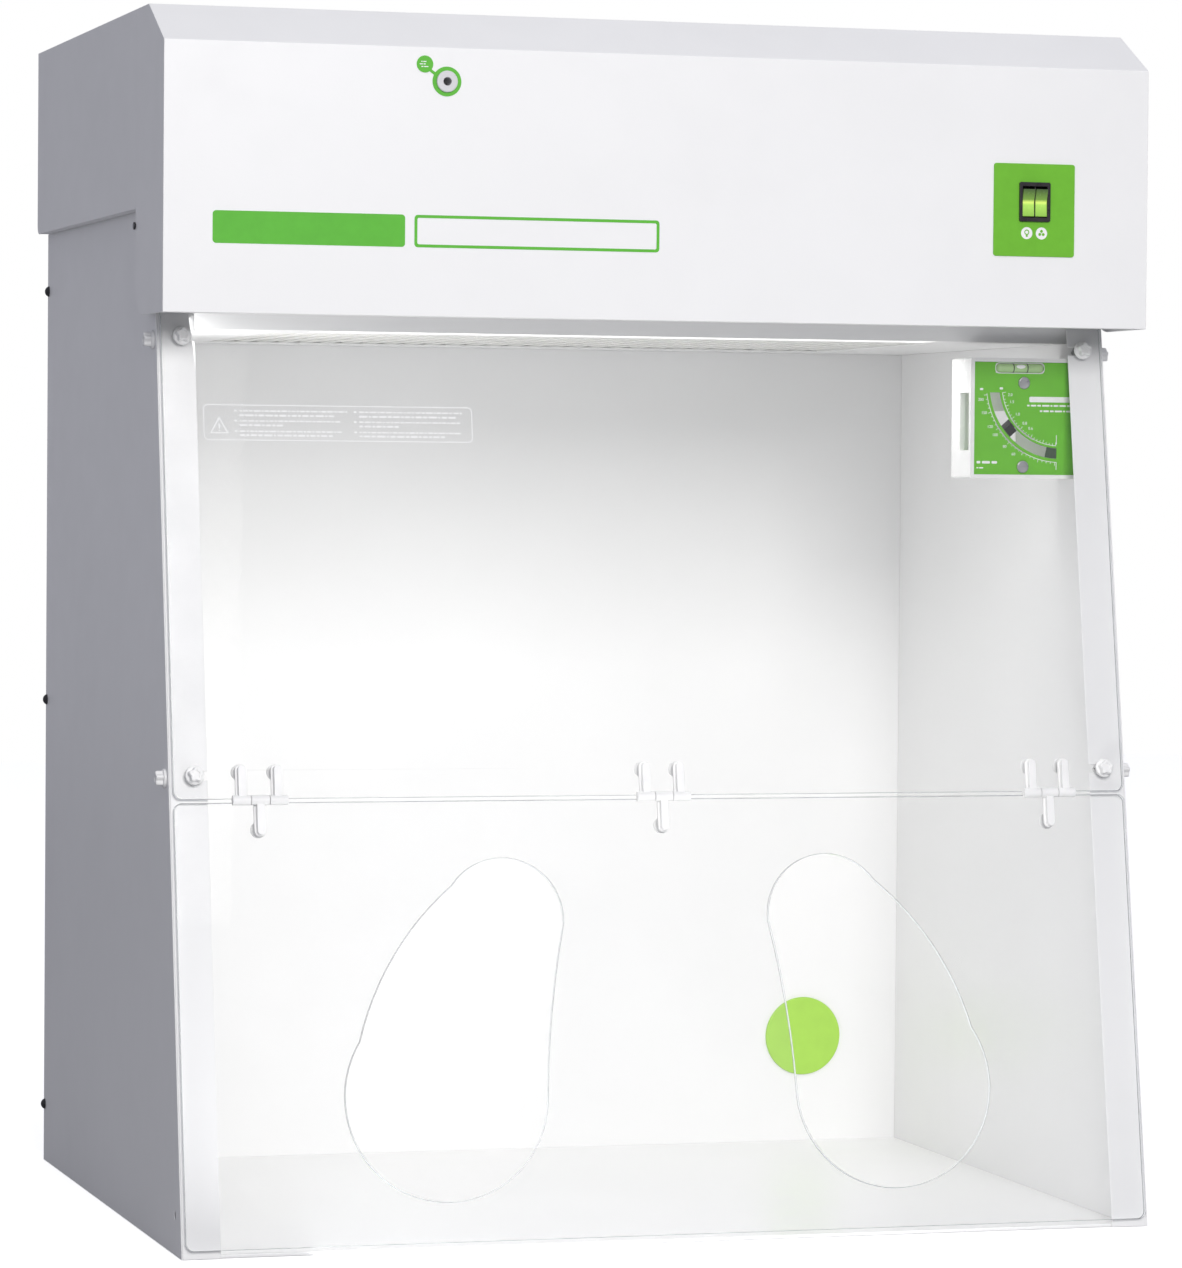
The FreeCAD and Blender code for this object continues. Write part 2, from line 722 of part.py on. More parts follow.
def make_fan():
    foot = size("side_top")
    thick = 2.0
    half = size("header_width") / 2 - size("header_sheet")
    centre = depth(size("fan_depth"))
    plate = box("fan_plate_sheet", (-half, depth(size("cover_depth") + 1.0), foot),
                (half, depth(size("header_depth")) - size("header_sheet"), foot + thick))
    hole = rod("fan_plate_hole", size("fan_inlet") + 2.0, 10.0, 0, centre, foot - 4.0)
    sub_part("fan_plate", cut("fan_plate", plate, [hole]))

    flange = rod("inlet_flange", size("fan_inlet") + 22.0, 2.0, 0, centre, foot + thick)
    mouth = rod("inlet_mouth", size("fan_inlet"), 22.0, 0, centre, foot + thick)
    bore = rod("inlet_bore", size("fan_inlet") - 2.0, 60.0, 0, centre, foot - 10.0)
    sub_part("inlet_ring", cut("inlet_ring", join("inlet_solid", [flange, mouth]), [bore]))

    shroud_foot = foot + 16.0
    plate_foot = foot + 64.0
    radius = size("fan_radius")
    shroud = rod("shroud_disc", radius, 2.0, 0, centre, shroud_foot)
    eye = rod("shroud_eye", size("fan_inlet") + 4.0, 10.0, 0, centre, shroud_foot - 4.0)
    ring = cut("shroud_ring", shroud, [eye])
    back_plate = rod("impeller_plate", radius, 2.0, 0, centre, plate_foot)
    hub = rod("impeller_hub", 16.0, 22.0, 0, centre, plate_foot - 20.0)
    blades = []
    for index in range(BLADE_COUNT):
        blades.append(make_blade(index, centre, shroud_foot + 2.0, plate_foot))
    shaft = rod("impeller_shaft", 5.0, 24.0, 0, centre, plate_foot + 2.0)
    sub_part("fan_impeller", join("fan_impeller", [ring, back_plate, hub, shaft] + blades))

    motor_foot = plate_foot + 5.0
    bridge_foot = foot + 100.0
    can = rod("motor_can", 42.0, bridge_foot - motor_foot, 0, centre, motor_foot)
    soft = round_edges("motor_can_soft", can, 3.0, lambda edge: len(edge.Vertexes) == 1)
    bore = rod("motor_bore", 5.05, 25.0, 0, centre, motor_foot - 2.0)
    sub_part("fan_motor", cut("fan_motor", soft, [bore]))

    half_span = 175.0
    top = box("bridge_top", (-half_span, centre - 22.0, bridge_foot),
              (half_span, centre + 22.0, bridge_foot + 2.5))
    pieces = [top]
    for side, sign in SIDES.items():
        low = (half_span - 2.5, centre - 22.0, foot + thick)
        high = (half_span, centre + 22.0, bridge_foot)
        pieces.append(mirrored("bridge_leg_" + side, low, high, sign))
        low = (half_span, centre - 22.0, foot + thick)
        high = (half_span + 22.0, centre + 22.0, foot + thick + 2.5)
        pieces.append(mirrored("bridge_foot_" + side, low, high, sign))
    sub_part("motor_bridge", join("motor_bridge", pieces))


def make_blade(index, centre, foot, top):
    """One backward-curved blade: a thin arc plate from near the eye to the rim."""
    inner = DRIVING_SIZES["fan_inlet"] + 8.0
    outer = DRIVING_SIZES["fan_radius"] - 3.0
    sweep = math.radians(42.0)
    points = []
    for thickness in (0.0, 2.0):
        for share in (0.0, 0.5, 1.0):
            reach = inner + (outer - inner) * share
            angle = -sweep * share ** 0.8 + thickness / reach
            points.append(FreeCAD.Vector(reach * math.cos(angle), reach * math.sin(angle), 0))
    near = Part.Arc(points[0], points[1], points[2]).toShape()
    far = Part.Arc(points[5], points[4], points[3]).toShape()
    tip = Part.LineSegment(points[2], points[5]).toShape()
    root = Part.LineSegment(points[3], points[0]).toShape()
    face = Part.Face(Part.Wire([near, tip, far, root]))
    blade = DOCUMENT.addObject("Part::Feature", f"blade_{index}")
    blade.Shape = face.extrude(FreeCAD.Vector(0, 0, top.value - foot.value))
    return place(blade, 0, centre, foot, Z_AXIS, 360.0 / BLADE_COUNT * index)


def make_exhaust_grille():
    top = size("header_top")
    outer_half = 165.0
    frame = box("grille_plate", (-outer_half, depth(165.0), top), (outer_half, depth(495.0), top + 2.0))
    soft = round_edges("grille_plate_soft", frame, 6.0, runs_along(Z_AXIS))
    slots = []
    rows = 16
    columns = 2
    for row in range(rows):
        for column in range(columns):
            x = -142.0 + 146.0 * column
            y = depth(186.0) + 18.2 * row
            slots.append(box(f"grille_slot_{row}_{column}", (x, y, top - 3.0),
                             (x + 138.0, y + 10.0, top + 5.0)))
    sub_part("exhaust_grille", cut("exhaust_grille", soft, slots))


def make_electrics():
    back = depth(size("header_depth"))
    x = -300.0
    flange = box("inlet_face", (x - 16.0, back, 918.0), (x + 16.0, back + 2.0, 944.0))
    soft = round_edges("inlet_face_soft", flange, 3.0, runs_along(Y_AXIS))
    body = box("inlet_body", (x - 13.5, back - 24.0, 920.5), (x + 13.5, back, 941.5))
    recess = box("inlet_recess", (x - 11.8, back - 18.0, 922.5), (x + 11.8, back + 5.0, 939.5))
    shell = cut("inlet_shell", join("inlet_solid_body", [soft, body]), [recess])
    pins = [
        box(f"inlet_pin_{index}", (x + offset - 1.0, back - 20.0, height - 2.0),
            (x + offset + 1.0, back - 8.0, height + 2.0))
        for index, (offset, height) in enumerate(((-6.0, 928.0), (0.0, 934.0), (6.0, 928.0)))
    ]
    sub_part("power_inlet", join("power_inlet", [shell] + pins))

    foot = size("side_top") + 2.0
    case = box("terminal_case", (-250.0, depth(500.0), foot), (-150.0, depth(565.0), foot + 46.0))
    sub_part("terminal_box", round_edges("terminal_box", case, 3.0, runs_along(Z_AXIS)))


# ---------------------------------------------------------------- windows, hinges and knobs

def window_sheet(name, low_s, high_s):
    low = (-size("window_half"), -size("window_thick"), low_s)
    high = (size("window_half"), 0, high_s)
    return round_edges(name + "_rounded", box(name + "_blank", low, high), 7.0, runs_along(Y_AXIS))


def hinge_centres():
    return {"left": -size("hinge_pitch"), "centre": as_size(0), "right": size("hinge_pitch")}


def make_windows():
    half_gap = size("seam_gap") / 2
    upper = window_sheet("upper_window", size("seam") + half_gap, size("window_top"))
    holes = []
    for side, sign in SIDES.items():
        for level in ("knob_high", "knob_low"):
            holes.append(rod(f"window_hole_{side}_{level}", size("stud_radius") + 0.4, 20.0,
                             size("knob_across") * sign, -10.0, size(level), Y_AXIS))
    for name, centre in hinge_centres().items():
        for offset in (-LEG_OFFSET, LEG_OFFSET):
            holes.append(rod(f"window_rivet_{name}_{offset:.0f}", 2.2, 20.0,
                             centre + offset, -10.0, size("seam") + RIVET_REACH, Y_AXIS))
    sub_part("upper_window", lean_back(cut("upper_window", upper, holes)))

    lower = window_sheet("lower_flap", size("flap_foot"), size("seam") - half_gap)
    holes = [make_hand_hole(side, sign) for side, sign in SIDES.items()]
    for name, centre in hinge_centres().items():
        holes.append(rod("flap_rivet_hole_" + name, 2.2, 20.0,
                         centre, -10.0, size("seam") - RIVET_REACH, Y_AXIS))
    sub_part("lower_flap", lean_back(cut("lower_flap", lower, holes)))


def make_hand_hole(side, sign):
    """A pear-shaped arm hole: a wide round bottom, a smaller round top that leans inwards."""
    wide_x, wide_s, wide_radius = 197.0, 127.0, 87.0
    small_x, small_s, small_radius = 143.0, 274.0, 52.0
    outer_low = (270.0, 174.5)
    outer_bulge = (236.5, 248.5)
    outer_high = (186.5, 303.5)
    inner_high = (small_x - small_radius, small_s - 4.0)
    inner_bulge = (104.5, 192.0)
    inner_low = (wide_x - wide_radius, wide_s)

    def at(point):
        return FreeCAD.Vector(point[0] * sign, -10.0, point[1])

    arcs = [
        Part.Arc(at(inner_low), at((wide_x, wide_s - wide_radius)), at(outer_low)),
        Part.Arc(at(outer_low), at(outer_bulge), at(outer_high)),
        Part.Arc(at(outer_high), at((small_x, small_s + small_radius)), at(inner_high)),
        Part.Arc(at(inner_high), at(inner_bulge), at(inner_low)),
    ]
    face = Part.Face(Part.Wire([arc.toShape() for arc in arcs]))
    hole = DOCUMENT.addObject("Part::Feature", "hand_hole_" + side)
    hole.Shape = face.extrude(FreeCAD.Vector(0, 20.0, 0))
    return hole


def leaf_leg(name, x, direction):
    """A round-ended leg that lies on the sheet, up (+1) or down (-1) from the barrel."""
    face = -size("window_thick")
    pieces = []
    for part, width, rise, inset in (("foot", 5.0, 2.2, 0.0), ("ridge", 3.2, 7.0, 1.2)):
        tip = size("seam") + (size("hinge_reach") - width - inset) * direction
        low_s = size("seam") if direction > 0 else tip
        high_s = tip if direction > 0 else size("seam")
        pieces.append(box(f"{name}_{part}", (x - width, face - rise, low_s),
                          (x + width, face, high_s)))
        pieces.append(rod(f"{name}_{part}_end", width, rise, x, face - rise, tip, Y_AXIS))
    return pieces


def make_hinges():
    axis_y = -size("window_thick") - size("hinge_radius")
    seam = size("seam")
    knuckle = size("hinge_length") / 3
    pin_hole = size("hinge_pin") + 0.05
    lower_leaves = []
    pins = []
    upper_rivets = []
    lower_rivets = []
    for name, centre in hinge_centres().items():
        base = "hinge_leaf_" + name
        start = centre - size("hinge_length") / 2
        pieces = []
        for index, offset in enumerate((-LEG_OFFSET, LEG_OFFSET)):
            pieces += leaf_leg(f"{base}_leg_{index}", centre + offset, 1)
        for index, begin in enumerate((start, centre + knuckle / 2 + 0.3)):
            pieces.append(rod(f"{base}_knuckle_{index}", size("hinge_radius"),
                              knuckle - 0.3, begin, axis_y, seam, X_AXIS))
        face = -size("window_thick")
        clear = box(base + "_clear", (centre - knuckle / 2 - 0.3, face - 20.0, seam - 9.0),
                    (centre + knuckle / 2 + 0.3, face + 0.5, seam + 7.0))
        gap_low = box(base + "_gap", (centre - 40.0, face - 2.0, seam - 9.0),
                      (centre + 40.0, face + 1.0, seam))
        bore = rod(base + "_bore", pin_hole, 60.0, centre - 30.0, axis_y, seam, X_AXIS)
        leaf = cut(base, join(base + "_solid", pieces), [clear, gap_low, bore])
        sub_part(base, lean_back(leaf))

        low = "flap_leaf_" + name
        parts = leaf_leg(low + "_leg", centre, -1)
        parts.append(rod(low + "_knuckle", size("hinge_radius"), knuckle - 0.3,
                         centre - knuckle / 2 + 0.15, axis_y, seam, X_AXIS))
        gap_high = box(low + "_gap", (centre - 40.0, face - 2.0, seam - 0.5),
                       (centre + 40.0, face + 1.0, seam + 9.0))
        bore = rod(low + "_bore", pin_hole, 60.0, centre - 30.0, axis_y, seam, X_AXIS)
        lower_leaves.append(cut(low, join(low + "_solid", parts), [gap_high, bore]))

        pins.append(rod("pin_" + name, size("hinge_pin"), size("hinge_length"),
                        start, axis_y, seam, X_AXIS))
        for offset in (-LEG_OFFSET, LEG_OFFSET):
            upper_rivets.append(make_rivet(f"rivet_{name}_{offset:.0f}", centre + offset,
                                           seam + RIVET_REACH))
        lower_rivets.append(make_rivet("flap_rivet_" + name, centre, seam - RIVET_REACH))
    for label, links in (("flap_hinge_leaves", lower_leaves), ("flap_rivets", lower_rivets),
                         ("hinge_pins_and_rivets", pins + upper_rivets)):
        sub_part(label, lean_back(group(label + "_group", links)))


def make_rivet(name, x, s):
    """A shank through the sheet, with a round cap behind it."""
    shank = rod(name + "_shank", 2.1, size("window_thick"), x, -size("window_thick"), s, Y_AXIS)
    cap = rod(name + "_cap", RIVET_CAP, 2.2, x, 0, s, Y_AXIS)
    return join(name, [shank, cap])


def make_knob(name, stud_length):
    """A lobed clamping knob with its stud. Its axis is Y, and it is gripped from -Y."""
    radius = size("knob_radius")
    flange = rod(name + "_flange", radius, 2.4, 0, -2.4, 0, Y_AXIS)
    pieces = [flange, rod(name + "_core", 4.6, 6.4, 0, -8.6, 0, Y_AXIS)]
    lobes = 5
    for index in range(lobes):
        angle = 2 * math.pi * index / lobes + math.pi / 2
        pieces.append(rod(f"{name}_lobe_{index}", 1.9, 6.4, 4.5 * math.cos(angle), -8.6,
                          4.5 * math.sin(angle), Y_AXIS))
    pieces.append(rod(name + "_stud", size("stud_radius"), stud_length, 0, -0.5, 0, Y_AXIS))
    return join(name, pieces)


def nut(name, length):
    """A hexagon nut along Y, starting at the origin."""
    block = DOCUMENT.addObject("Part::Prism", name + "_hexagon")
    block.Polygon = 6
    block.Circumradius = 6.35
    block.Height = length
    place(block, 0, 0, 0, X_AXIS, -90)
    bore = rod(name + "_bore", size("stud_radius") + 0.05, 20.0, 0, -5.0, 0, Y_AXIS)
    return cut(name, block, [bore])


def make_knobs():
    nuts = []
    for level, word in (("knob_high", "upper"), ("knob_low", "lower")):
        for side, sign in SIDES.items():
            base = f"{word}_{side}"
            tilt = FreeCAD.Rotation(X_AXIS, -math.degrees(LEAN))
            foot = FreeCAD.Vector(0, front_y(0).value, 0)
            knob = make_knob("front_knob_" + base, DRIVING_SIZES["window_thick"] + 8.5)
            local = FreeCAD.Vector(DRIVING_SIZES["knob_across"] * sign,
                                   -DRIVING_SIZES["window_thick"], DRIVING_SIZES[level])
            knob.Placement = FreeCAD.Placement(foot + tilt.multVec(local), tilt)
            sub_part("front_knob_" + base, knob)
            back_nut = nut("front_nut_" + base, 5.0)
            local.y = DRIVING_SIZES["post_sheet"]
            back_nut.Placement = FreeCAD.Placement(foot + tilt.multVec(local), tilt)
            nuts.append(back_nut)

            y, z = side_knob_yz(level)
            turn = FreeCAD.Rotation(Z_AXIS, 90.0 * sign)
            side_knob = make_knob("side_knob_" + base, 10.0)
            place(side_knob, size("shell_half") * sign, y, z, Z_AXIS, 90.0 * sign)
            side_knob.Placement = FreeCAD.Placement(side_knob.Placement.Base, turn)
            sub_part("side_knob_" + base, side_knob)
            side_nut = nut("side_nut_" + base, 5.0)
            inner = size("shell_half") - size("sheet") - size("post_sheet")
            place(side_nut, inner * sign, y, z, Z_AXIS, 90.0 * sign)
            nuts.append(side_nut)
    sub_part("knob_nuts", group("knob_nut_group", nuts))


# ---------------------------------------------------------------- air-speed gauge

def make_gauge():
    left = size("gauge_left")
    right = left + size("gauge_width")
    front = depth(size("gauge_front"))
    back = front + size("gauge_deep")
    foot = size("gauge_foot")
    top = foot + size("gauge_rise")
    wall = 2.0
    pivot_x = size("gauge_pivot_x")
    pivot_z = size("gauge_pivot_z")
    dial_front = front + DIAL_RECESS
    dial_back = dial_front + DIAL_THICK
    block = box("gauge_block", (left, front, foot), (right, back, top))
    soft = round_edges("gauge_block_soft", block, 2.0, runs_along(Y_AXIS))
    ledge = DIAL_RIM + 1.2
    hollow = box("gauge_hollow", (left + ledge, front, foot + ledge),
                 (right - ledge, back - wall, top - ledge))
    pocket = box("gauge_pocket", (left + DIAL_RIM, front - 1.0, foot + DIAL_RIM),
                 (right - DIAL_RIM, dial_back, top - DIAL_RIM))
    slot = box("gauge_slot", (left - 5.0, front + 5.0, foot + 24.5),
               (left + 5.0, front + 27.0, foot + 75.0))
    side_hole = box("gauge_outlet", (left + 30.0, back - 5.0, foot + 20.0),
                    (left + 60.0, back + 5.0, foot + 60.0))
    shell = cut("gauge_shell", soft, [hollow, pocket, slot, side_hole])
    boss = rod("gauge_boss", 3.0, 6.0, pivot_x, back - wall - 6.0, pivot_z, Y_AXIS)
    posts = [
        rod(f"gauge_post_{index}", 3.5, back - dial_back - 1.0, left + x,
            dial_back, foot + z, Y_AXIS)
        for index, (x, z) in enumerate(GAUGE_SCREWS)
    ]
    case = join("gauge_case_solid", [shell, boss] + posts)
    bore = rod("gauge_boss_bore", 1.05, 7.0, pivot_x, back - wall - 8.0, pivot_z, Y_AXIS)
    sub_part("gauge_case", cut("gauge_case", case, [bore]))

    plate = box("dial_block", (left + DIAL_RIM, dial_front, foot + DIAL_RIM),
                (right - DIAL_RIM, dial_back, top - DIAL_RIM))
    outer = rod("dial_outer", CHANNEL_OUTER, 10.0, pivot_x, front - 4.0, pivot_z, Y_AXIS)
    inner = rod("dial_inner", CHANNEL_INNER, 12.0, pivot_x, front - 5.0, pivot_z, Y_AXIS)
    ring = cut("dial_ring", outer, [inner])
    quarter = box("dial_quarter", (pivot_x - 70.0, front - 6.0, pivot_z - 70.0),
                  (pivot_x - 1.8, front + 10.0, pivot_z - 7.5))
    channel = DOCUMENT.addObject("Part::Common", "dial_channel")
    channel.Base = ring
    channel.Tool = quarter
    vial_hole = box("dial_vial_hole", (left + 23.8, front - 5.0, foot + 92.9),
                    (left + 69.0, front + 5.0, foot + 101.5))
    sub_part("gauge_dial", cut("gauge_dial", plate, [channel, vial_hole]))

    pin_front = dial_back + 0.2
    pin = rod("gauge_pin_rod", 1.0, back - wall - 2.0 - pin_front, pivot_x, pin_front,
              pivot_z, Y_AXIS)
    sub_part("gauge_pin", pin)

    hub = rod("vane_hub", 2.6, 30.0, 0, 0, 0, Y_AXIS)
    arm = box("vane_arm", (-0.6, 0, -64.8), (0.6, 30.0, -1.5))
    pointer = box("vane_pointer", (-4.2, -2.4, -64.8), (4.2, 1.0, -56.5))
    bore = rod("vane_bore", 1.06, 50.0, 0, -10.0, 0, Y_AXIS)
    vane = cut("gauge_vane", join("vane_solid", [hub, arm, pointer]), [bore])
    place(vane, pivot_x, dial_back + 1.2, pivot_z, Y_AXIS, VANE_REST_ANGLE)
    sub_part("gauge_vane", vane)

    radius = 4.0
    vial_y = dial_front + 1.0
    vial_z = foot + 97.2
    vial = rod("vial_tube", radius, 44.6 - 2 * radius, left + 24.1 + radius,
               vial_y, vial_z, X_AXIS)
    ends = []
    for index, offset in enumerate((24.1 + radius, 68.7 - radius)):
        ball = DOCUMENT.addObject("Part::Sphere", f"vial_end_{index}")
        ball.Radius = radius
        ends.append(place(ball, left + offset, vial_y, vial_z))
    sub_part("gauge_level", join("gauge_level", [vial] + ends))

    screws = []
    for index, (x, z) in enumerate(GAUGE_SCREWS):
        head_front = dial_front - 1.6
        head = rod(f"gauge_screw_{index}_block", 5.4, 1.6, left + x, head_front,
                   foot + z, Y_AXIS)
        soft_head = round_edges(f"gauge_screw_{index}_soft", head, 0.7,
                                is_front_circle(head_front))
        recess = box(f"gauge_screw_{index}_slot",
                     (left + x - 4.0, head_front - 0.4, foot + z - 0.6),
                     (left + x + 4.0, head_front + 0.7, foot + z + 0.6))
        screws.append(cut(f"gauge_screw_{index}", soft_head, [recess]))
    sub_part("gauge_screws", group("gauge_screw_group", screws))


# ---------------------------------------------------------------- build, check and write

def build():
    make_worktop()
    make_side_panels()
    make_side_liners()
    make_posts()
    make_back()
    make_port_cap()
    make_header_housing()
    make_front_cover()
    make_sampling_port()
    make_switch()
    make_ceiling()
    make_lamp()
    make_filters()
    make_fan()
    make_exhaust_grille()
    make_electrics()
    make_windows()
    make_hinges()
    make_knobs()
    make_gauge()


def check():
    for thing in DOCUMENT.Objects:
        if "Invalid" in thing.State or "Error" in thing.State:
            raise RuntimeError(f"{thing.Label} failed: {thing.State}")
    for thing in NODES:
        if thing.Shape.isNull() or not thing.Shape.isValid():
            raise RuntimeError(f"{thing.Label} has no valid shape")


def write():
    os.makedirs("parts", exist_ok=True)
    whole = FreeCAD.BoundBox()
    for thing in NODES:
        thing.Shape.exportStep(f"parts/{thing.Label}.step")
        whole.add(thing.Shape.BoundBox)
    print(f"{len(NODES)} sub-parts")
    print(f"X {whole.XMin:.2f} {whole.XMax:.2f}")
    print(f"Y {whole.YMin:.2f} {whole.YMax:.2f}")
    print(f"Z {whole.ZMin:.2f} {whole.ZMax:.2f}")


build()
DOCUMENT.recompute()
check()
write()
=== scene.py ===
import json
import math

import bmesh
import bpy
from mathutils import Matrix, Vector


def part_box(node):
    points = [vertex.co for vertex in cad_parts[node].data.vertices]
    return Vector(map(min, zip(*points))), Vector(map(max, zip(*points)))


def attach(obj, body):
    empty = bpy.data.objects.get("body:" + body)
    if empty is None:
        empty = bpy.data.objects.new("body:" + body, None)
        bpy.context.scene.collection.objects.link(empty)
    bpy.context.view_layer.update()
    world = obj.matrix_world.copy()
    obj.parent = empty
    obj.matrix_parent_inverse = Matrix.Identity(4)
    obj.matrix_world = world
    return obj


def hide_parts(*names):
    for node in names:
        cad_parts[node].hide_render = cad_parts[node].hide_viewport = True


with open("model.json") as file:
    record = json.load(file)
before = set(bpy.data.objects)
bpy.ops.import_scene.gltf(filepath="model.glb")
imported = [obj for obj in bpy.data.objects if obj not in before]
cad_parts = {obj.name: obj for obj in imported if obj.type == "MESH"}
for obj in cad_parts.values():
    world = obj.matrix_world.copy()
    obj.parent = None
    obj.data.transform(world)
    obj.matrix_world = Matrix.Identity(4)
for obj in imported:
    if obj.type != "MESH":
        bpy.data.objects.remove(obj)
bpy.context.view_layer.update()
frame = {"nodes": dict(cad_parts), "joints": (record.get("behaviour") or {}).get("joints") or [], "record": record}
NODES = frame["nodes"]
BODIES = frame["record"]["behaviour"]["bodies"]
BODY_OF = {node: body for body, nodes in BODIES.items() for node in nodes}
FIRST_NODE = {body: nodes[0] for body, nodes in BODIES.items()}
SLOT_OF = {part["node"]: part["material_slot"] for part in frame["record"]["subparts"]}
JOINTS = {joint["name"]: joint for joint in frame["joints"]}
MM = 0.001


# ---------------------------------------------------------------- places taken from the frame

FACE_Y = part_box("front_cover")[0].y
FOOT_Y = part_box("front_post_right")[0].y
# OUT points out of the leaning front, and UP runs up along it.
OUT = -Vector(JOINTS["front_knob_upper_left_turn"]["axis"])
UP = Vector((0.0, OUT.z, -OUT.y))


def plane_matrix(origin, right, up):
    """A frame whose x runs right, y runs up and z points out of a face."""
    right = Vector(right).normalized()
    up = Vector(up).normalized()
    out = right.cross(up)
    matrix = Matrix((right, up, out)).transposed().to_4x4()
    matrix.translation = Vector(origin)
    return matrix


HEADER_FACE = plane_matrix((0, FACE_Y, 0), (1, 0, 0), (0, 0, 1))
FRONT_PLANE = plane_matrix((0, FOOT_Y, 0), (1, 0, 0), UP)
DIAL_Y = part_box("gauge_dial")[0].y
PIVOT = Vector(JOINTS["vane_swing"]["pos_m"])
DIAL_FACE = plane_matrix((PIVOT.x, DIAL_Y, PIVOT.z), (1, 0, 0), (0, 0, 1))


# ---------------------------------------------------------------- camera, lights and floor

# The photograph's camera: yaw, pitch and roll in degrees, and its place, with y from the face.
CAMERA_TURN = (16.3, -1.66, 0.47)
CAMERA_PLACE = (-1.26473, FACE_Y - 4.09986, 0.63428)
CAMERA_LENS = 143.78
SENSOR_WIDTH = 36.0
CLIP_END = 50.0


def make_camera():
    yaw, pitch, roll = (math.radians(angle) for angle in CAMERA_TURN)
    data = bpy.data.cameras.new("camera")
    data.lens = CAMERA_LENS
    data.sensor_width = SENSOR_WIDTH
    data.clip_end = CLIP_END
    camera = bpy.data.objects.new("camera", data)
    turn = (Matrix.Rotation(-yaw, 4, "Z") @ Matrix.Rotation(math.pi / 2 + pitch, 4, "X")
            @ Matrix.Rotation(roll, 4, "Z"))
    camera.matrix_world = Matrix.Translation(CAMERA_PLACE) @ turn
    bpy.context.scene.collection.objects.link(camera)
    bpy.context.scene.camera = camera


WHITE = (1, 1, 1)
DIAL_LIGHT = PIVOT + Vector((-0.032, 0.0025, -0.03))
# name, place, target, (width, height), watts, colour
LIGHTS = (
    ("key", (-0.2, -4.7, 2.3), (0, 0, 0.5), (1.8, 1.8), 138, (1, 0.99, 0.975)),
    ("top", (0.2, -0.4, 4.2), (0, 0, 0.9), (3.0, 3.0), 20, WHITE),
    ("cabin_lamp", (0.08, FACE_Y + 0.122, 0.760), (0.08, FACE_Y + 0.20, 0), (0.4, 0.05), 0.4,
     WHITE),
    ("cabin_side", (-0.385, FACE_Y + 0.17, 0.60), (0.4, FACE_Y + 0.22, 0.68), (0.2, 0.35), 0.62,
     WHITE),
    ("bounce", (-0.05, FACE_Y - 0.20, 0.03), (0.15, FACE_Y + 0.30, 0.80), (0.6, 0.2), 1.35,
     WHITE),
    ("gauge_inside", DIAL_LIGHT, DIAL_LIGHT + Vector((0, 1, 0)), (0.08, 0.08), 0.014, WHITE),
)
SKY_SEEN = (1, 1, 1, 1)
SKY_FILL = (0.88, 0.89, 1.0, 1)
SKY_FILL_STRENGTH = 0.44


def area_light(name, place, target, size, power, colour):
    data = bpy.data.lights.new(name, "AREA")
    data.shape = "RECTANGLE"
    data.size, data.size_y = size
    data.energy = power
    data.color = colour
    light = bpy.data.objects.new(name, data)
    direction = Vector(target) - Vector(place)
    light.location = place
    light.rotation_euler = direction.to_track_quat("-Z", "Y").to_euler()
    bpy.context.scene.collection.objects.link(light)


def make_lights():
    bpy.context.scene.view_settings.view_transform = "Standard"
    for light in LIGHTS:
        area_light(*light)
    make_world()


def make_world():
    """White to the camera, and a softer fill for the light that falls on the hood."""
    world = bpy.data.worlds.new("studio")
    bpy.context.scene.world = world
    world.use_nodes = True
    nodes = world.node_tree.nodes
    links = world.node_tree.links
    nodes.clear()
    output = nodes.new("ShaderNodeOutputWorld")
    seen = nodes.new("ShaderNodeBackground")
    seen.inputs["Color"].default_value = SKY_SEEN
    seen.inputs["Strength"].default_value = 1.0
    fill = nodes.new("ShaderNodeBackground")
    fill.inputs["Color"].default_value = SKY_FILL
    fill.inputs["Strength"].default_value = SKY_FILL_STRENGTH
    path = nodes.new("ShaderNodeLightPath")
    mix = nodes.new("ShaderNodeMixShader")
    links.new(path.outputs["Is Camera Ray"], mix.inputs["Fac"])
    links.new(fill.outputs["Background"], mix.inputs[1])
    links.new(seen.outputs["Background"], mix.inputs[2])
    links.new(mix.outputs["Shader"], output.inputs["Surface"])


FLOOR_REACH = 7.0
FLOOR_Z = -0.0004


def make_floor(material):
    mesh = bpy.data.meshes.new("floor")
    corners = [(x * FLOOR_REACH, y * FLOOR_REACH, FLOOR_Z)
               for x, y in ((-1, -1), (1, -1), (1, 1), (-1, 1))]
    mesh.from_pydata(corners, [], [(0, 1, 2, 3)])
    floor = bpy.data.objects.new("floor", mesh)
    mesh.materials.append(material)
    bpy.context.scene.collection.objects.link(floor)


# ---------------------------------------------------------------- materials

# Most of a noise texture's values lie in this span, which is stretched over each change.
NOISE_LOW = 0.3
NOISE_HIGH = 0.7
ACRYLIC_IOR = 1.49


